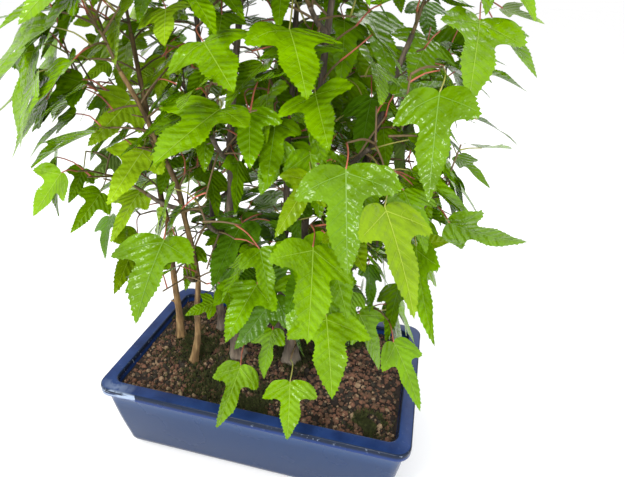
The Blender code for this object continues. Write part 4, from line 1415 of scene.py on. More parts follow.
def stalk_tube(batch, leaf, rng):
    """A leaf's stalk: a slim curve that meets the blade along its rib."""
    sway = [rng.uniform(-STALK_SWAY, STALK_SWAY) for _ in range(2)]
    bow = Vector((*sway, rng.uniform(*STALK_ARCH))) * (leaf.base - leaf.root).length
    end = leaf.base + leaf.along * leaf.length * STALK_ON_RIB
    points = [leaf.root, leaf.root.lerp(leaf.base, 0.5) + bow, end]
    plain_tube(batch, points, STALK_RADII, STALK_STEP, STALK_SIDES)


# ---- materials ----


def srgb(red, green, blue):
    """A colour as seen on a screen, 0 to 255, as the shader's linear values."""
    linear = []
    for value in (red, green, blue):
        share = value / 255
        linear.append(share / 12.92 if share <= 0.04045 else ((share + 0.055) / 1.055) ** 2.4)
    return (*linear, 1.0)


def tinted(colour, factor):
    """A colour made darker or lighter."""
    return (*(min(part * factor, 1.0) for part in colour[:3]), 1.0)


BLACK = srgb(0, 0, 0)
WHITE = srgb(255, 255, 255)
MIX_SOCKETS = (0, 6, 7)  # a Mix node's factor and its two colours


class Finish:
    """A Principled material and short ways to add nodes to it."""

    def __init__(self, name, roughness):
        self.material = bpy.data.materials.new(name)
        self.material.use_nodes = True
        self.tree = self.material.node_tree
        self.shader = self.tree.nodes["Principled BSDF"].inputs
        self.shader["Roughness"].default_value = roughness

    def feed(self, socket, value):
        """Links an output to a socket, or sets the socket to a plain value."""
        if isinstance(value, bpy.types.NodeSocket):
            self.tree.links.new(value, socket)
        else:
            socket.default_value = value

    def node(self, kind, inputs=None, **settings):
        """A new node; inputs give the values or outputs that its sockets take."""
        made = self.tree.nodes.new("ShaderNode" + kind)
        for key, value in settings.items():
            setattr(made, key, value)
        for key, value in (inputs or {}).items():
            self.feed(made.inputs[key], value)
        return made

    def place(self, stretch=(1.0, 1.0, 1.0), kind="Object"):
        """Coordinates, stretched."""
        where = self.node("TexCoord").outputs[kind]
        return self.node("Mapping", {"Scale": stretch, "Vector": where}).outputs["Vector"]

    def axes(self, vector):
        """X, Y and Z of a vector."""
        return self.node("SeparateXYZ", {"Vector": vector}).outputs

    def noise(self, scale, detail=3.0, stretch=(1.0, 1.0, 1.0), roughness=0.5):
        inputs = {"Scale": scale, "Detail": detail, "Roughness": roughness, "Vector": self.place(stretch)}
        return self.node("TexNoise", inputs).outputs["Fac"]

    def ramp(self, value, stops):
        """Colours along a value; stops are (place, colour)."""
        made = self.node("ValToRGB", {"Fac": value})
        elements = made.color_ramp.elements
        while len(elements) < len(stops):
            elements.new(0.5)
        for element, (place, colour) in zip(elements, stops):
            element.position = place
            element.color = colour
        return made.outputs["Color"]

    def mask(self, value, *places):
        """Black to white between the first two places, and back to black between the next two."""
        return self.ramp(value, list(zip(places, (BLACK, WHITE, WHITE, BLACK))))

    def mix(self, factor, first, second, mode="MIX"):
        inputs = dict(zip(MIX_SOCKETS, (factor, first, second)))
        return self.node("Mix", inputs, data_type="RGBA", blend_type=mode).outputs[2]

    def math(self, operation, *values):
        return self.node("Math", dict(enumerate(values)), operation=operation).outputs[0]

    def colour(self, output):
        self.feed(self.shader["Base Color"], output)

    def rough(self, value, low, high):
        """Roughness from low to high along a value."""
        spread = self.node("MapRange", {"To Min": low, "To Max": high, "Value": value})
        self.feed(self.shader["Roughness"], spread.outputs["Result"])

    def bump(self, height, strength, distance):
        inputs = {"Strength": strength, "Distance": distance, "Height": height}
        self.feed(self.shader["Normal"], self.node("Bump", inputs).outputs["Normal"])


# The steps light, bright, mid, deep and dark are lighter and darker copies of one green: painted light and
# shade. Yellow, pale and rust are the leaves' own colours.
LEAF_TONES_AND_PAINTED_LIGHT = {  # blade's colour and roughness, colours of its ribs and of its finer veins
    "light": (srgb(148, 184, 22), 0.22, srgb(174, 202, 76), srgb(158, 190, 42)),
    "bright": (srgb(109, 149, 0), 0.18, srgb(138, 172, 44), srgb(116, 156, 16)),
    "yellow": (srgb(117, 148, 6), 0.19, srgb(152, 174, 50), srgb(136, 162, 22)),
    "mid": (srgb(105, 147, 2), 0.19, srgb(128, 162, 44), srgb(106, 148, 16)),
    "deep": (srgb(94, 131, 2), 0.20, srgb(108, 146, 44), srgb(90, 134, 18)),
    "dark": (srgb(78, 118, 12), 0.23, srgb(90, 128, 42), srgb(74, 114, 20)),
    "pale": (srgb(122, 150, 66), 0.34, srgb(146, 168, 100), srgb(126, 152, 74)),
    "rust": (srgb(136, 74, 48), 0.34, srgb(160, 104, 72), srgb(146, 86, 58)),
}
LEAF_SHINE = 0.24
LEAF_MOTTLING = (55.0, 4.0)  # scale and detail
LEAF_SHADES = ((0.30, 0.74), (0.52, 1.0), (0.75, 1.22))  # place along the mottling, and factor
LEAF_SKIN = (190.0, 2.0)
LEAF_RELIEF = (0.60, 0.0024)  # strength and distance
QUILT_WAVES = 52.0  # of the pillows between side veins, over a blade of unit length
QUILT_SLANT = -0.9
QUILT_DEPTH = 0.12  # over the fine unevenness of the skin


def leaf_finish(name, colour, roughness):
    """Glossy leaf: a little mottled, and quilted between its side veins."""
    made = Finish(name, roughness)
    made.shader["Specular IOR Level"].default_value = LEAF_SHINE
    shades = [(place, tinted(colour, factor)) for place, factor in LEAF_SHADES]
    made.colour(made.ramp(made.noise(*LEAF_MOTTLING), shades))
    blade = made.axes(made.place(kind="UV"))
    slant = made.math("MULTIPLY_ADD", made.math("ABSOLUTE", blade["X"]), QUILT_SLANT, blade["Y"])
    quilt = made.math("SINE", made.math("MULTIPLY", slant, QUILT_WAVES))
    made.bump(made.math("MULTIPLY_ADD", quilt, QUILT_DEPTH, made.noise(*LEAF_SKIN)), *LEAF_RELIEF)
    return made.material


PLAIN_DETAIL = 4.0
PLAIN_SHADES = (0.3, 0.7)  # places of the darker and the lighter shade along the mottling
PLAIN_RELIEF = (0.3, 0.0004)


def plain_finish(name, colour, roughness, scale, spread):
    """One colour, mottled a little, with a fine grain."""
    made = Finish(name, roughness)
    grain = made.noise(scale, PLAIN_DETAIL)
    shades = (tinted(colour, 1 - spread), tinted(colour, 1 + spread))
    made.colour(made.ramp(grain, list(zip(PLAIN_SHADES, shades))))
    made.bump(grain, *PLAIN_RELIEF)
    return made.material


BARK_ROUGHNESS = 0.82
BARK_STREAKS = (340.0, 6.0, (1.0, 1.0, 0.16), 0.6)
BARK_SHADES = (0.32, 0.52, 0.72)  # places of the dark, middle and pale colour along the streaks
BARK_RELIEF = (0.7, 0.0008)
BLOTCHES = (70.0, 3.0, (1.0, 1.0, 0.6))
BLOTCH_SHADES = [(0.35, srgb(150, 150, 150)), (0.65, WHITE)]
BLOTCH_SHARE = 0.8  # how much the blotches darken the streaks
LICHEN = srgb(188, 178, 160)
LICHEN_TOP = 0.112  # height that pale lichen on the grey stems' feet reaches
LICHEN_SCATTER = 0.060
LICHEN_EDGE = 70.0  # how sharply it ends


def bark_finish(name, low, middle, high, lichen_share):
    """Young maple bark: streaks along the stem, darker blotches, a matte skin, and pale patches at the foot.
    """
    made = Finish(name, BARK_ROUGHNESS)
    streaks = made.noise(*BARK_STREAKS)
    blotches = made.noise(*BLOTCHES)
    colours = made.ramp(streaks, list(zip(BARK_SHADES, (low, middle, high))))
    skin = made.mix(BLOTCH_SHARE, colours, made.ramp(blotches, BLOTCH_SHADES), "MULTIPLY")
    level = made.math("MULTIPLY_ADD", blotches, LICHEN_SCATTER, made.axes(made.place())["Z"])
    below = made.math("MULTIPLY", made.math("SUBTRACT", LICHEN_TOP, level), LICHEN_EDGE)
    covered = made.math("MINIMUM", made.math("MAXIMUM", below, 0.0), 1.0)
    made.colour(made.mix(made.math("MULTIPLY", covered, lichen_share), skin, LICHEN))
    made.bump(streaks, *BARK_RELIEF)
    return made.material


GLAZE_ROUGHNESS = 0.24
GLAZE_CLOUDING = (0.18, 0.34)  # roughness from clear to cloudy places
GLAZE_SHINE = 0.16
GLAZE_RELIEF = (0.12, 0.0008)
GLAZE_NOISES = {  # scale, detail and stretch of what is uneven in the glaze
    "cloud": (26.0, 4.0),
    "cobalt": (60.0, 5.0),
    "breaks": (420.0,),
    "patch": (14.0, 1.0),
    "streak": (260.0, 3.0, (0.35, 0.35, 2.0)),
    "specks": (1500.0, 1.0),
    "skin": (90.0,),
}
BREAKS = (0.62, 0.70)  # where the masks of the rubbed and bare places rise, and fall again
RUBBED_PATCH = (0.50, 0.62)
RUBBED_EDGE = (0.93, 0.955, 0.99, 1.0)
BARE_STREAK = (0.44, 0.56)
BARE_FACE = (0.90, 0.93, 0.985, 1.0)
GLAZE_WANDER = 0.03  # how far the bands of colour on the walls wander, as a share of the height
# Painted shade: the glaze is darker towards the foot, where the heel turns under, and dark in the band at
# 0.875, under the lip's overhang.
GLAZE_BANDS_AND_PAINTED_SHADE = [  # colours up the walls, by share of the pot's height
    (0.0, srgb(22, 36, 62)),
    (0.12, srgb(30, 48, 80)),
    (0.70, srgb(35, 54, 88)),
    (0.845, srgb(48, 70, 108)),
    (0.875, srgb(26, 42, 78)),
    (0.925, srgb(26, 52, 108)),
    (0.965, srgb(18, 28, 44)),
    (1.0, srgb(20, 34, 58)),
]
LIP_COBALT = [(0.3, srgb(22, 40, 82)), (0.7, srgb(38, 62, 114))]
LIP_FLAT = 0.93  # the lip's flat top faces up more than this
LIP_TOP = POT_HEIGHT - 0.0012
RUBBED_GLAZE = srgb(150, 164, 186)
BARE_GLAZE = srgb(150, 166, 190)
BARE_LIP_END = -0.086  # the lip's outer face is worn pale left of this, at the front
BARE_LIP_FRONT = -0.062
SPECKS = [(0.72, WHITE), (0.78, srgb(120, 120, 130))]
SPECK_SHARE = 0.8


def glaze_finish():
    """Cobalt glaze: bright on the lip's flat top and inside, greyer on the walls, broken at the edges, with
    painted shade at the foot and under the lip.
    """
    made = Finish("blue_glaze", GLAZE_ROUGHNESS)
    made.shader["Specular IOR Level"].default_value = GLAZE_SHINE

    def both(first, second):
        return made.math("MULTIPLY", first, second)

    where = made.axes(made.place())
    uneven = {key: made.noise(*row) for key, row in GLAZE_NOISES.items()}
    wander = made.math("SUBTRACT", uneven["cloud"], 0.5)
    height = made.math("MULTIPLY_ADD", wander, GLAZE_WANDER, made.math("DIVIDE", where["Z"], POT_HEIGHT))
    # the walls' colours carry the painted shade at the foot and under the lip
    walls = made.ramp(height, GLAZE_BANDS_AND_PAINTED_SHADE)
    facing = made.axes(made.node("NewGeometry").outputs["Normal"])
    flat = made.math("GREATER_THAN", facing["Z"], LIP_FLAT)
    high = made.math("GREATER_THAN", where["Z"], LIP_TOP)
    colour = made.mix(both(flat, high), walls, made.ramp(uneven["cobalt"], LIP_COBALT))

    rubbed = both(made.mask(uneven["breaks"], *BREAKS), made.mask(height, *RUBBED_EDGE))
    patch = made.mask(uneven["patch"], *RUBBED_PATCH)
    colour = made.mix(both(rubbed, patch), colour, RUBBED_GLAZE)

    left = made.math("LESS_THAN", where["X"], BARE_LIP_END)
    front = made.math("LESS_THAN", where["Y"], BARE_LIP_FRONT)
    bare = both(made.mask(uneven["streak"], *BARE_STREAK), made.mask(height, *BARE_FACE))
    colour = made.mix(both(both(left, front), bare), colour, BARE_GLAZE)

    specks = made.ramp(uneven["specks"], SPECKS)
    made.colour(made.mix(SPECK_SHARE, colour, specks, "MULTIPLY"))
    made.rough(uneven["cloud"], *GLAZE_CLOUDING)
    made.bump(uneven["skin"], *GLAZE_RELIEF)
    return made.material


BARKS = {  # material, its dark, middle and pale colour, and how much lichen it bears
    "bark": ("grey_bark", srgb(62, 52, 44), srgb(104, 90, 76), srgb(150, 134, 114), 0.28),
    "bark_tan": ("tan_bark", srgb(84, 64, 40), srgb(136, 106, 66), srgb(176, 148, 102), 0.0),
}
PLAIN_FINISHES = {  # material, colour, roughness, and scale and spread of the mottling
    "twig": ("young_twig", srgb(104, 84, 54), 0.6, 300.0, 0.2),
    "stalks_red": ("red_stalk", srgb(176, 96, 74), 0.45, 200.0, 0.15),
    "stalks_green": ("green_stalk", srgb(150, 148, 70), 0.45, 200.0, 0.15),
    "bed": ("soil_bed", srgb(40, 30, 24), 0.95, 220.0, 0.4),
    "moss": ("moss", srgb(62, 68, 28), 0.9, 260.0, 0.4),
}
RIB_FINISH = (0.45, 200.0, 0.08)
VEIN_FINISH = (0.4, 200.0, 0.08)


def make_finishes():
    made = {key: bark_finish(*row) for key, row in BARKS.items()}
    made |= {key: plain_finish(*row) for key, row in PLAIN_FINISHES.items()}
    made["glaze"] = glaze_finish()
    for tone, (blade, roughness, rib, vein) in LEAF_TONES_AND_PAINTED_LIGHT.items():
        made["leaves_" + tone] = leaf_finish("leaf_" + tone, blade, roughness)
        made["ribs_" + tone] = plain_finish("rib_" + tone, rib, *RIB_FINISH)
        made["veins_" + tone] = plain_finish("vein_" + tone, vein, *VEIN_FINISH)
    return made


# ---- pot and soil ----

CORNER_STEPS = 12
ARC_STEPS = 6
WALL_STEPS = 8
WALL_BOW = 0.0006
LIP_ARC_STEPS = 5
LIP_UNDERCUT = 0.0006
UNDERCUT_ANGLE = -80
UNDERCUT_DROP = 0.4  # place of its deepest ring under the lip, over the lip's rounding
CORNER_LOSS = 0.35  # how fast the corners' radius shrinks inward
LEAST_CORNER = 0.004
INNER_KNEE = (0.25, 0.8)  # share of the inner taper that is reached at this share of the height
SHARP_ANGLE = math.radians(50)
BED_DROP = 0.0016  # the bed lies this far under the grains' tops
GRAIN_LUMPS = (0.80, 1.16)
GRAIN_STRETCH = (0.78, 1.1)
COARSE_GRAIN = (0.0019, 0.0026)
COARSE_SUNK = 0.85  # a coarse grain's middle lies this share of its size under its top
FINE_GRAINS = (  # count, sizes, and how far they sink in, as a share of their size
    (2300, (0.0010, 0.0019), 0.9),
    (2600, (0.0005, 0.0009), 1.1),
)
SUNK_SPREAD = 0.3
MOSS_BLADES = 26000
MOSS_SPREAD = 0.45  # of its blades about a spot's middle, over the spot's radius
MOSS_PATCHES = 90  # scale of the noise that keeps some ground free of moss, and its layer
MOSS_LAYER = 4.0
MOSS_BARE = -0.25
MOSS_SUNK = 0.0006
MOSS_LEAN = 0.6
MOSS_LENGTH = (0.0016, 0.0036)
MOSS_HALF_WIDTH = 0.00028
MOSS_TRIANGLES = np.array([[0, 1, 2], [0, 2, 3], [3, 2, 4]])
MOSS_SPOTS = (  # middle and radius of the moss that the photograph shows
    (-0.070, 0.000, 0.030),
    (-0.036, -0.034, 0.034),
    (0.000, -0.050, 0.026),
    (0.014, 0.014, 0.026),
    (0.088, -0.046, 0.012),
    (-0.100, 0.040, 0.014),
    (0.060, 0.048, 0.016),
)
GRAIN_FINISH = (0.9, 500.0, 0.3)  # roughness, and scale and spread of the mottling
GRAIN_TONES = (  # name, colour and share of the grains
    ("grain_red", srgb(110, 76, 58), 0.32),
    ("grain_brown", srgb(92, 68, 50), 0.30),
    ("grain_tan", srgb(142, 118, 92), 0.12),
    ("grain_dark", srgb(46, 40, 30), 0.26),
)


def ring_radius(inset):
    return max(POT_CORNER - CORNER_LOSS * inset, LEAST_CORNER)


def rounded_ring(inset, height):
    """A rounded rectangle inside the pot's outline."""
    radius = ring_radius(inset)
    half_x = POT_LENGTH / 2 - inset
    half_y = POT_DEPTH / 2 - inset
    ring = []
    for quarter, (sx, sy) in enumerate(((1, 1), (-1, 1), (-1, -1), (1, -1))):
        for step in range(CORNER_STEPS + 1):
            angle = math.radians(90 * (quarter + step / CORNER_STEPS))
            x = sx * (half_x - radius) + radius * math.cos(angle)
            y = sy * (half_y - radius) + radius * math.sin(angle)
            ring.append((x, y, height))
    return ring


def arc(middle, radius, start, end, steps):
    """Points (inset, height) of an arc, by angles in degrees from the outward level."""
    found = []
    for step in range(steps + 1):
        angle = math.radians(start + (end - start) * step / steps)
        found.append((middle[0] - radius * math.cos(angle), middle[1] + radius * math.sin(angle)))
    return found


def pot_profile():
    """(inset, height) from the underside's edge up the outside, over the lip and down the inside."""
    under_lip = POT_HEIGHT - LIP_DROP
    heel = LIP_OVERHANG + WALL_TAPER
    profile = arc((heel + HEEL_RADIUS, HEEL_RADIUS), HEEL_RADIUS, -90, 0, ARC_STEPS)
    for step in range(1, WALL_STEPS):
        share = step / WALL_STEPS
        inset = heel + (LIP_OVERHANG - heel) * share - WALL_BOW * math.sin(math.pi * share)
        profile.append((inset, HEEL_RADIUS + (under_lip - LIP_ROUND - HEEL_RADIUS) * share))
    profile.append((LIP_OVERHANG, under_lip - LIP_ROUND))
    profile.append((LIP_OVERHANG - LIP_UNDERCUT, under_lip - LIP_ROUND * UNDERCUT_DROP))
    profile += arc((LIP_ROUND, under_lip + LIP_ROUND), LIP_ROUND, UNDERCUT_ANGLE, 0, LIP_ARC_STEPS)
    profile += arc((LIP_ROUND, POT_HEIGHT - LIP_ROUND), LIP_ROUND, 0, 90, LIP_ARC_STEPS)
    inner = arc((-(LIP_WIDTH - LIP_ROUND), POT_HEIGHT - LIP_ROUND), LIP_ROUND, 90, 0, LIP_ARC_STEPS)
    profile += [(-inset, height) for inset, height in inner]
    profile.append((LIP_WIDTH + INNER_TAPER * INNER_KNEE[0], POT_HEIGHT * INNER_KNEE[1]))
    profile.append((LIP_WIDTH + INNER_TAPER, POT_FLOOR))
    return profile


def make_pot(finish):
    vertices, faces = loft([rounded_ring(inset, height) for inset, height in pot_profile()])
    mesh = bpy.data.meshes.new("glazed_pot")
    mesh.from_pydata(vertices, [], faces)
    mesh.shade_smooth()
    mesh.set_sharp_from_angle(angle=SHARP_ANGLE)
    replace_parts(add_piece("glazed_pot", mesh, finish), "pot")


class Soil:
    """The soil's surface over the tops of its coarse grains, which follow the source's rule."""

    def __init__(self):
        wall_height = POT_HEIGHT - LIP_ROUND - POT_FLOOR
        taper = INNER_TAPER * (1 - (SOIL_TOP - POT_FLOOR) / wall_height)
        inset = LIP_WIDTH + taper + SOIL_CLEARANCE
        self.half_x = POT_LENGTH / 2 - inset
        self.half_y = POT_DEPTH / 2 - inset
        self.corner = ring_radius(inset)
        self.tops = self.grain_tops()
        rim = [Vector(place) for place in rounded_ring(inset, SOIL_TOP)]
        self.points = rim + self.tops
        flat = [point.xy for point in self.points]
        _, _, self.triangles, *_ = delaunay_2d_cdt(flat, [], [list(range(len(rim)))], 1, CDT_REACH)
        self.tree = BVHTree.FromPolygons(self.points, self.triangles)

    def grain_tops(self):
        rng = random.Random(SEED)
        columns = int(2 * self.half_x / GRAIN_PITCH)
        rows = int(2 * self.half_y / GRAIN_PITCH)
        tops = []
        for row in range(rows + 1):
            for column in range(columns + 1):
                scatter_x = rng.uniform(-1, 1) * GRAIN_SCATTER * GRAIN_PITCH
                scatter_y = rng.uniform(-1, 1) * GRAIN_SCATTER * GRAIN_PITCH
                dip = GRAIN_DIP * rng.random()
                x = GRAIN_PITCH * (column - columns / 2) + scatter_x
                y = GRAIN_PITCH * (row - rows / 2) + scatter_y
                beyond_x = max(abs(x) - (self.half_x - self.corner), 0.0)
                beyond_y = max(abs(y) - (self.half_y - self.corner), 0.0)
                if math.hypot(beyond_x, beyond_y) <= self.corner - GRAIN_INSET:
                    tops.append(Vector((x, y, SOIL_TOP - (0.0 if at_foot(x, y) else dip))))
        return tops

    def height(self, x, y):
        """The surface's height at a place, or None beside it."""
        hit, *_ = self.tree.ray_cast(Vector((x, y, 1.0)), upward(-1.0))
        return hit.z if hit else None


def at_foot(x, y):
    """Whether a place on the soil lies at a stem's foot."""
    return any(math.dist((x, y), foot) < radius * (1 + FLARE) + FOOT_LEVEL for _, foot, _, _, radius in STEMS)


def make_bed(soil, finish):
    batch = Batch()
    batch.add(as_array(soil.points) - (0.0, 0.0, BED_DROP), np.array(soil.triangles))
    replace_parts(batch.piece("soil_bed", finish, "soil"), "soil")


def ball(subdivisions):
    """A unit icosphere as arrays."""
    mesh = bmesh.new()
    bmesh.ops.create_icosphere(mesh, subdivisions=subdivisions, radius=1.0)
    vertices = as_array([vertex.co for vertex in mesh.verts])
    triangles = np.array([[vertex.index for vertex in face.verts] for face in mesh.faces])
    mesh.free()
    return vertices, triangles


def grain_places(soil, rng):
    """Place, size and rough shape of each grain: coarse ones at the source's tops, finer ones between."""
    coarse, fine = ball(2), ball(1)
    places = []
    for top in soil.tops:
        size = rng.uniform(*COARSE_GRAIN)
        places.append(((top.x, top.y, top.z - size * COARSE_SUNK), size, coarse))
    for count, sizes, sunk in FINE_GRAINS:
        for _ in range(count):
            size = rng.uniform(*sizes)
            x = rng.uniform(-soil.half_x + size, soil.half_x - size)
            y = rng.uniform(-soil.half_y + size, soil.half_y - size)
            height = soil.height(x, y)
            if height is not None:
                depth = size * rng.uniform(sunk - SUNK_SPREAD, sunk + SUNK_SPREAD)
                places.append(((x, y, height - depth), size, fine))
    return places


def make_grains(soil):
    """Loose grit in four tones, each grain its own crumbly shape."""
    rng = np.random.default_rng(SEED)
    shares = [share for *_, share in GRAIN_TONES]
    batches = [Batch() for _ in GRAIN_TONES]
    for place, size, (vertices, triangles) in grain_places(soil, rng):
        lumpy = vertices * rng.uniform(*GRAIN_LUMPS, (len(vertices), 1)) * rng.uniform(*GRAIN_STRETCH, 3)
        turn, _ = np.linalg.qr(rng.normal(size=(3, 3)))
        if np.linalg.det(turn) < 0:
            turn[:, 0] *= -1
        tone = rng.choice(len(batches), p=shares)
        batches[tone].add(lumpy @ turn.T * size + place, triangles)
    for batch, (name, colour, _) in zip(batches, GRAIN_TONES):
        batch.piece(name, plain_finish(name, colour, *GRAIN_FINISH), "soil", smooth=False)


def make_moss(soil, finish):
    """Short dark moss in patches between the grains."""
    rng = np.random.default_rng(SEED + 1)
    batch = Batch()
    for _ in range(MOSS_BLADES):
        middle_x, middle_y, radius = MOSS_SPOTS[rng.integers(len(MOSS_SPOTS))]
        x, y = rng.normal((middle_x, middle_y), radius * MOSS_SPREAD)
        height = soil.height(x, y)
        patch = Vector((x * MOSS_PATCHES, y * MOSS_PATCHES, MOSS_LAYER))
        if height is None or noise.noise(patch) < MOSS_BARE:
            continue
        foot = np.array((x, y, height - MOSS_SUNK))
        lean = rng.uniform(-MOSS_LEAN, MOSS_LEAN, 2)
        tip = foot + np.array((*lean, 1.0)) * rng.uniform(*MOSS_LENGTH)
        angle = rng.uniform(0, 2 * math.pi)
        side = np.array((math.cos(angle), math.sin(angle), 0.0)) * MOSS_HALF_WIDTH
        middle = (foot + tip) / 2
        blade = np.array([foot - side, foot + side, middle + side, middle - side, tip])
        batch.add(blade, MOSS_TRIANGLES)
    batch.piece("moss", finish, "soil")


# ---- the tree ----

# Painted light: between these, behind their front ones, the leaves mostly take the light tone.
PAINTED_LIGHT_SIDE = (-0.125, -0.055)  # between these the leaves are paler, behind their front ones
PAINTED_LIGHT_FRONT = -0.045
PAINTED_LIGHT_SHARE = 0.7
# Painted light: leaves outward and high in the crown get lighter tones, and leaves within and low get darker
# ones for the shade inside the crown.
PAINTED_LIGHT_FROM_OUT = 0.55  # share of a leaf's light that comes with its place outward,
PAINTED_LIGHT_FROM_HEIGHT = 0.45  # and upward
PAINTED_LIGHT_SCATTER = 0.22
PAINTED_BRIGHT_LIGHT = 0.58  # a leaf with more light than this is bright
BRIGHT_SHARE = 0.88
PAINTED_MID_LIGHT = 0.36
PAINTED_DEEP_LIGHT = 0.20
TONE_SEED = 977
TONE_RUN = 3  # leaves in a row that share their chance
FINER_SPRAY = 50  # number that the finer twigs' leaves count as
RED_STALK_SHARE = 0.65
TAN_STEMS = ("stem_a", "stem_b")
TAN_SLIMNESS = 0.88  # the tan stems are drawn a little slimmer than their solids
STEM_SEED = 1
BOUGH_SEED = 40


def rule_tone_with_painted_light(leaf, spray, index):
    """A rule leaf's tone: dealt by spray, brighter outside and above, darker within, as painted light and
    shade.
    """
    rng = random.Random(spray * TONE_SEED + index // TONE_RUN)
    out = math.hypot(leaf.base.x / CROWN_LENGTH, leaf.base.y / CROWN_DEPTH) * 2
    height = (leaf.base.z - CROWN_FOOT) / (CROWN_TOP - CROWN_FOOT)
    scatter = rng.uniform(-PAINTED_LIGHT_SCATTER, PAINTED_LIGHT_SCATTER)
    light = PAINTED_LIGHT_FROM_OUT * out + PAINTED_LIGHT_FROM_HEIGHT * height + scatter
    if PAINTED_LIGHT_SIDE[0] < leaf.base.x < PAINTED_LIGHT_SIDE[1] and leaf.base.y > PAINTED_LIGHT_FRONT:
        return "light" if rng.random() < PAINTED_LIGHT_SHARE else "bright"
    if light > PAINTED_BRIGHT_LIGHT:
        return "bright" if rng.random() < BRIGHT_SHARE else "yellow"
    if light > PAINTED_MID_LIGHT:
        return "mid"
    return "deep" if light > PAINTED_DEEP_LIGHT else "dark"


def leave_room(growths, seen, crowd):
    """Keeps the rule's leaves that cover nothing seen and that the crowd leaves room for."""
    for growth in growths:
        kept = []
        for leaf in growth.leaves:
            shell = blade_shell(leaf)
            if not seen.blocked(leaf) and not crowd.cut_by(shell):
                crowd.add(shell)
                kept.append(leaf)
        growth.leaves = kept


class Tree:
    """Stems, boughs, names of the masses, twigs as (points, radii), and leaves with their tones."""

    def __init__(self):
        self.stems = [stem_limb(*row) for row in STEMS]
        tiers = tier_middles()
        self.boughs = plan_boughs(self.stems, tiers)
        limbs = self.stems + self.boughs
        plan = plan_masses(self.stems, self.boughs, tiers)
        self.masses = [name for name, *_ in plan]
        middles = as_array([middle for *_, middle in plan])
        room = Room(limbs, middles)
        placed = [leaf_from_pixels(*row) for row in PLACED_LEAVES.values()]
        seen = Seen(placed)
        crowd = Crowd()
        for leaf in placed:
            crowd.add(blade_shell(leaf))
        for limb in limbs:
            crowd.add(Shape(limb.solid(BOUGH_SIDES)))
        growths = [Growth(k, *way, room) for k, (_, *way) in enumerate(plan)]
        leave_room(growths, seen, crowd)
        nodes = finer_nodes(self.stems, self.boughs, growths)
        finer_twigs, finer_leaves = grow_finer(nodes, middles, seen, crowd)
        self.twigs = [twig for growth in growths for twig in growth.prune()] + finer_twigs
        wood = [place for limb in limbs for place in wood_samples(limb.points) if place.z > CROWN_FOOT]
        wood += [place for points, _ in self.twigs for place in wood_samples(points)]
        self.twigs += hold_placed(placed, wood)
        self.leaves = [(leaf, leaf.tone) for leaf in placed]
        sprays = [*enumerate(growth.leaves for growth in growths), (FINER_SPRAY, finer_leaves)]
        for spray, leaves in sprays:
            self.leaves += [(leaf, rule_tone_with_painted_light(leaf, spray, k)) for k, leaf in enumerate(leaves)]


def dress_limbs(tree, finishes):
    """Stems and boughs in bark, the tan stems apart."""
    grey, tan = Batch(), Batch()
    names = []
    for number, stem in enumerate(tree.stems):
        if stem.name in TAN_STEMS:
            radii = [radius * TAN_SLIMNESS for radius in stem.radii]
            bark_tube(tan, stem.points, radii, STEM_SEED + number, foot=True)
        else:
            bark_tube(grey, stem.points, stem.radii, STEM_SEED + number, foot=True)
            names.append(stem.name)
    for number, bough in enumerate(tree.boughs):
        bark_tube(grey, bough.points, bough.radii, BOUGH_SEED + number)
        names.append(bough.name)
    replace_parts(grey.piece("bark_grey", finishes["bark"], "bark"), *names)
    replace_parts(tan.piece("bark_tan", finishes["bark_tan"], "bark"), *TAN_STEMS)


def dress_twigs(tree, finish):
    batch = Batch()
    for points, radii in tree.twigs:
        plain_tube(batch, points, radii, TWIG_STEP, DRESSED_TWIG_SIDES)
    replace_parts(batch.piece("twigs", finish, "bark"), *tree.masses)


def dress_leaves(tree, finishes):
    """Stalks in two colours, and the blades, ribs and veins of each tone."""
    rng = random.Random(SEED)
    variants = [(blade_template(rng), *vein_templates(rng)) for _ in range(BLADE_VARIANTS)]
    stalks = {"stalks_red": Batch(), "stalks_green": Batch()}
    tones = {tone: {"leaves_": Batch(), "ribs_": Batch(), "veins_": Batch()} for tone in LEAF_TONES_AND_PAINTED_LIGHT}
    for leaf, tone in tree.leaves:
        (flat, triangles), ribs, veins = rng.choice(variants)
        form = Form(rng)
        tones[tone]["leaves_"].add(place_flat(flat, leaf, form), triangles, flat)
        tones[tone]["ribs_"].add(place_flat(ribs[0], leaf, form, VEIN_LIFT), ribs[1])
        tones[tone]["veins_"].add(place_flat(veins[0], leaf, form, VEIN_LIFT), veins[1])
        colour = "stalks_red" if rng.random() < RED_STALK_SHARE else "stalks_green"
        stalk_tube(stalks[colour], leaf, rng)
    for name, batch in stalks.items():
        batch.piece(name, finishes[name], "leaf")
    for tone, batches in tones.items():
        for kind, batch in batches.items():
            batch.piece(kind + tone, finishes[kind + tone], "leaf")


# ---- camera, floor and light ----

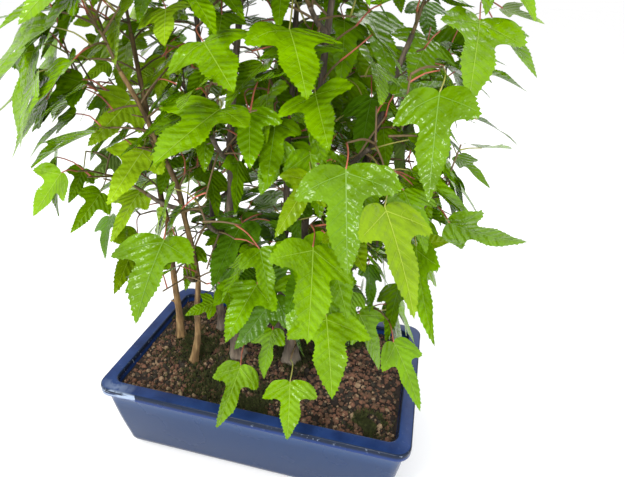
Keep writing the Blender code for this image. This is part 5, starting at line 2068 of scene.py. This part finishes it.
FLOOR_HALF = 15.0
FLOOR_ROUGHNESS = 0.9
LIGHTS = (  # name, place, size, power, colour
    ("key", (-0.45, -0.95, 1.35), 0.34, 11.0, (1.0, 0.99, 0.96)),
    ("front", (0.15, -1.25, 0.62), 0.36, 8.5, (1.0, 1.0, 1.0)),
    ("fill", (1.4, -1.2, 0.9), 1.4, 5.0, (0.96, 0.98, 1.0)),
    ("back", (0.2, 1.6, 1.3), 1.2, 8.0, (1.0, 1.0, 1.0)),
)
LIGHT_AIM = Vector((0.0, 0.0, 0.2))
SKY_STRENGTH = 1.0
CLIP_START = 0.01


def make_stage():
    mesh = bpy.data.meshes.new("floor")
    corners = [(x * FLOOR_HALF, y * FLOOR_HALF, 0) for x, y in ((-1, -1), (1, -1), (1, 1), (-1, 1))]
    mesh.from_pydata(corners, [], [(0, 1, 2, 3)])
    finish = Finish("pale_floor", FLOOR_ROUGHNESS)
    finish.shader["Base Color"].default_value = WHITE
    mesh.materials.append(finish.material)
    add_object("floor", mesh)
    for name, place, size, power, colour in LIGHTS:
        lamp = bpy.data.lights.new(name, "AREA")
        lamp.shape = "DISK"
        lamp.size = size
        lamp.energy = power
        lamp.color = colour
        obj = add_object(name, lamp)
        obj.location = place
        obj.rotation_euler = (LIGHT_AIM - Vector(place)).to_track_quat("-Z", "Y").to_euler()
    world = bpy.data.worlds.new("sky")
    world.use_nodes = True
    background = world.node_tree.nodes["Background"].inputs
    background["Color"].default_value = WHITE
    background["Strength"].default_value = SKY_STRENGTH
    bpy.context.scene.world = world
    bpy.context.scene.view_settings.view_transform = "Standard"


def make_camera():
    data = bpy.data.cameras.new("camera")
    data.sensor_width = SENSOR
    data.lens = SENSOR * FOCAL_PIXELS / IMAGE_WIDTH
    data.clip_start = CLIP_START
    camera = add_object("camera", data)
    axes = Matrix((RIGHT, UP, -FORWARD)).transposed()
    camera.matrix_world = Matrix.Translation(CAMERA_PLACE) @ axes.to_4x4()
    bpy.context.scene.camera = camera


def main():
    make_camera()
    make_stage()
    finishes = make_finishes()
    make_pot(finishes["glaze"])
    soil = Soil()
    make_bed(soil, finishes["bed"])
    make_grains(soil)
    make_moss(soil, finishes["moss"])
    tree = Tree()
    dress_limbs(tree, finishes)
    dress_twigs(tree, finishes["twig"])
    dress_leaves(tree, finishes)


main()
